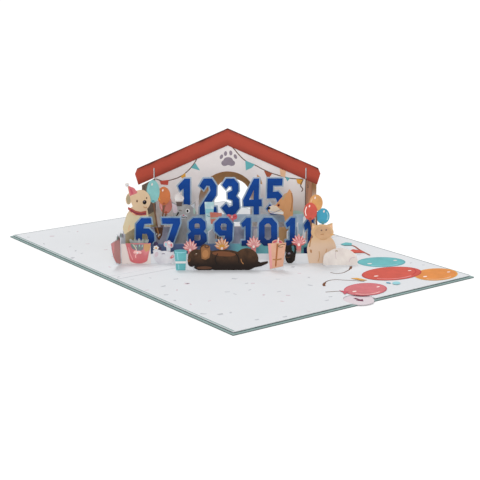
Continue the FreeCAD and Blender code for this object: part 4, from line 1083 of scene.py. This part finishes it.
class POPUP_OT_panel_print(bpy.types.Operator):
    """Balloons, strings and flags printed on the near panel"""
    bl_idname = "popup.panel_print"
    bl_label = "Panel print"

    def execute(self, context):
        panel = Print("panel_balloons", sheet_face(LINER_TOP))
        width = sizes().string_width / MM
        strings = [
            [(24.2, -71.6), (25.4, -75.2), (29.0, -76.5), (34.3, -75.0), (38.8, -72.7), (43.0, -68.8)],
            [(2.8, -91.1), (9.7, -84.8), (16.0, -84.7), (19.9, -88.7), (23.6, -92.4), (27.6, -98.0)],
            [(-4.5, -100.6), (5.2, -104.9)],
        ]
        for points in strings:
            panel.line(points, width * 1.3, "brown")
        panel.line([(38.6, -72.9), (41.4, -70.6), (43.2, -68.6)], width * 2.6, "chestnut")
        panel.line([(2.6, -91.3), (4.4, -88.6), (7.4, -86.2)], width * 2.6, "chestnut")
        self.balloon(panel, 64.8, -72.6, 15.0, 11.3, 152.4, "teal", "rim_teal", "sky")
        self.balloon(panel, 72.0, -112.3, 14.8, 11.4, 5.7, "orange", "yellow", "peach")
        self.balloon(panel, 52.0, -95.3, 19.5, 13.2, 170.7, "red", "rim_red", "rose")
        panel.line([(60.2, -104.9), (67.0, -100.4), (70.4, -93.4)], width, "rim_red")
        self.balloon(panel, 17.1, -110.4, 13.7, 11.1, 7.8, "pink", "rim_pink", "petal")
        panel.shape([(25.0, -88.6), (28.6, -90.4), (30.4, -97.6), (27.0, -96.2)], "yellow")
        panel.shape([(3.2, -103.4), (6.4, -108.6), (0.8, -111.0), (2.6, -107.0)], "rim_pink")
        panel.oval(39.7, -112.1, 3.1, 2.3, "sky", 38)
        panel.oval(36.4, -108.9, 1.6, 0.8, "blue", 110)
        panel.line([(74.8, -24.6), (76.8, -31.5), (73.1, -43.6), (69.4, -57.1)], width * 1.5, "rust")
        panel.shape([(72.7, -25.2), (78.5, -24.0), (80.4, -27.7), (76.3, -32.1), (72.3, -29.1)], "teal")
        panel.shape([(62.1, -42.6), (70.5, -39.8), (72.6, -45.1), (70.7, -50.5), (66.1, -47.7)], "red")
        panel.finish("white_card")
        return {"FINISHED"}

    def balloon(self, panel, x, y, half_x, half_y, tilt, body, rim, shine):
        """One printed balloon: rim, body, an arc of shine and two highlights."""
        panel.oval(x, y, half_x, half_y, rim, tilt, 48)
        panel.oval(x, y, half_x - 0.7, half_y - 0.7, body, tilt, 48)
        turn = math.radians(tilt)

        def place(angle, share):
            a = math.radians(angle)
            u, v = half_x * share * math.cos(a), half_y * share * math.sin(a)
            return x + u * math.cos(turn) - v * math.sin(turn), y + u * math.sin(turn) + v * math.cos(turn)

        toward = 200 - tilt
        panel.line([place(toward + step, 0.82) for step in (0, 22, 44, 66, 88)], 0.8, shine)
        for step, share, size in ((-24, 0.6, 1.5), (150, 0.66, 1.2)):
            spot_x, spot_y = place(toward + step, share)
            panel.oval(spot_x, spot_y, size, size * 0.6, "highlight", tilt)


# Specks that the photograph shows plainly, on the left and on the near panel
PLAIN_SPECKS = [(-82, 114), (-68, 107), (-82, 92), (-53, 111), (-48, 108), (-72, 75), (-74, 56), (-59, 75),
               (-74, 64), (-84, 50), (-76, 18), (-83, -4), (-79, -13), (-84, -37), (-69, -17), (-72, -36),
               (-70, -47), (-80, -51), (-82, -63), (-58, -40), (-49, -67), (-48, -73), (-67, -75), (-83, -92),
               (-76, -98), (-79, -74), (-70, -99), (-58, -28), (-58, -39), (-30, -48), (-10, -64), (-27, -62),
               (-30, -60), (-25, -84), (-36, -84), (-8, -109), (-14, -113), (-35, -122), (-51, -122), (-66, -117),
               (8, -62), (7, -72), (-62, 38), (-57, 55)]


class POPUP_OT_specks(bpy.types.Operator):
    """Pale confetti printed on the inner sheet"""
    bl_idname = "popup.specks"
    bl_label = "Specks"

    def execute(self, context):
        low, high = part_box("liner")
        scatter = random.Random(7)
        places = list(PLAIN_SPECKS)
        while len(places) < len(PLAIN_SPECKS) + sizes().speck_count:
            x = scatter.uniform(-44, high.x / MM - 4)
            y = scatter.uniform(low.y / MM + 4, high.y / MM - 4)
            if min((x - a) ** 2 + (y - b) ** 2 for a, b in places) > 60:
                places.append((x, y))
        specks = Print("speck_print", sheet_face(LINER_TOP))
        size = sizes().speck_size / MM
        for i, (x, y) in enumerate(places):
            turn = scatter.uniform(0, math.pi)
            along = Vector((math.cos(turn), math.sin(turn))) * size * scatter.uniform(0.35, 0.6)
            aside = Vector((-along.y, along.x)) * scatter.uniform(0.35, 0.75)
            middle = Vector((x, y))
            corners = [middle - along - aside, middle + along - aside * 0.6, middle + along * 0.8 + aside,
                       middle - along * 0.7 + aside * 0.8]
            specks.layer = 0
            specks.shape([tuple(corner) for corner in corners], "speck_pink" if i % 3 == 1 else "speck_grey")
        specks.finish("white_card")
        return {"FINISHED"}


class POPUP_OT_stage(bpy.types.Operator):
    """Pale floor, soft lamps and the photograph's camera"""
    bl_idname = "popup.stage"
    bl_label = "Stage"

    def execute(self, context):
        self.floor()
        self.light()
        self.camera()
        return {"FINISHED"}

    def floor(self):
        bpy.ops.object.select_all(action="DESELECT")
        bpy.ops.mesh.primitive_plane_add(size=6)
        floor = bpy.context.object
        floor.name = "floor"
        material, nodes, links = new_material("floor_paper", 1, 0)
        shader = nodes["Principled BSDF"]
        shader.inputs["Base Color"].default_value = (0.9, 0.9, 0.905, 1)
        path = nodes.new("ShaderNodeLightPath")
        glow = nodes.new("ShaderNodeEmission")
        glow.inputs["Color"].default_value = (1, 1, 1, 1)
        add = nodes.new("ShaderNodeAddShader")
        strength = maths(nodes, links, "MULTIPLY", path.outputs["Is Camera Ray"], 0.14)
        links.new(strength, glow.inputs["Strength"])
        links.new(shader.outputs["BSDF"], add.inputs[0])
        links.new(glow.outputs["Emission"], add.inputs[1])
        links.new(add.outputs["Shader"], nodes["Material Output"].inputs["Surface"])
        floor.data.materials.append(material)

    def light(self):
        world = bpy.data.worlds.new("soft_sky")
        bpy.context.scene.world = world
        world.use_nodes = True
        nodes, links = world.node_tree.nodes, world.node_tree.links
        background = nodes["Background"]
        background.inputs["Color"].default_value = (1, 1, 1, 1)
        path = nodes.new("ShaderNodeLightPath")
        seen = maths(nodes, links, "MULTIPLY", path.outputs["Is Camera Ray"], 1 - sizes().sky_strength)
        links.new(maths(nodes, links, "ADD", seen, sizes().sky_strength), background.inputs["Strength"])
        self.lamp(sizes().front_lamp, Vector((0.6, 0.75, -0.6)))
        self.lamp(sizes().back_lamp, Vector((-0.12, -0.5, -1.0)))

    def lamp(self, strength, towards):
        bpy.ops.object.light_add(type="SUN", location=(-0.6, -0.5, 1.2))
        lamp = bpy.context.object
        lamp.data.energy = strength
        lamp.data.angle = math.radians(24)
        lamp.rotation_euler = towards.to_track_quat("-Z", "Y").to_euler()

    def camera(self):
        bpy.ops.object.camera_add(location=CAMERA_PLACE)
        camera = bpy.context.object
        forward = Vector((math.sin(CAMERA_YAW) * math.cos(CAMERA_DOWN),
                          math.cos(CAMERA_YAW) * math.cos(CAMERA_DOWN), -math.sin(CAMERA_DOWN)))
        camera.rotation_euler = forward.to_track_quat("-Z", "Y").to_euler()
        camera.data.lens = camera.data.sensor_width * CAMERA_LENS_RATIO
        camera.data.clip_start = 0.01
        bpy.context.scene.camera = camera
        bpy.context.scene.view_settings.view_transform = "Standard"


STEPS = [POPUP_OT_stage, POPUP_OT_sheets, POPUP_OT_tab, POPUP_OT_lattice, POPUP_OT_house, POPUP_OT_numbers,
         POPUP_OT_dogs, POPUP_OT_cats, POPUP_OT_presents, POPUP_OT_flowers, POPUP_OT_balloons,
         POPUP_OT_panel_print, POPUP_OT_specks]


class POPUP_PT_card(bpy.types.Panel):
    """Lists the steps and settings of the card"""
    bl_idname = "POPUP_PT_card"
    bl_label = "Pop-up card"
    bl_space_type = "VIEW_3D"
    bl_region_type = "UI"
    bl_category = "Pop-up card"

    def draw(self, context):
        layout = self.layout
        for step in STEPS:
            layout.operator(step.bl_idname)
        for settings in (context.scene.popup_sizes, context.scene.popup_colours):
            for name in settings.__annotations__:
                layout.prop(settings, name)


CLASSES = [PopupSizes, PopupColours] + STEPS + [POPUP_PT_card]


def register():
    for cls in CLASSES:
        bpy.utils.register_class(cls)
    bpy.types.Scene.popup_sizes = bpy.props.PointerProperty(type=PopupSizes)
    bpy.types.Scene.popup_colours = bpy.props.PointerProperty(type=PopupColours)


def unregister():
    del bpy.types.Scene.popup_colours
    del bpy.types.Scene.popup_sizes
    for cls in reversed(CLASSES):
        bpy.utils.unregister_class(cls)


def main():
    register()
    bpy.ops.popup.stage()
    bpy.ops.popup.sheets()
    bpy.ops.popup.tab()
    bpy.ops.popup.lattice()
    bpy.ops.popup.house()
    bpy.ops.popup.numbers()
    bpy.ops.popup.dogs()
    bpy.ops.popup.cats()
    bpy.ops.popup.presents()
    bpy.ops.popup.flowers()
    bpy.ops.popup.balloons()
    bpy.ops.popup.panel_print()
    bpy.ops.popup.specks()


if __name__ == "__main__":
    main()
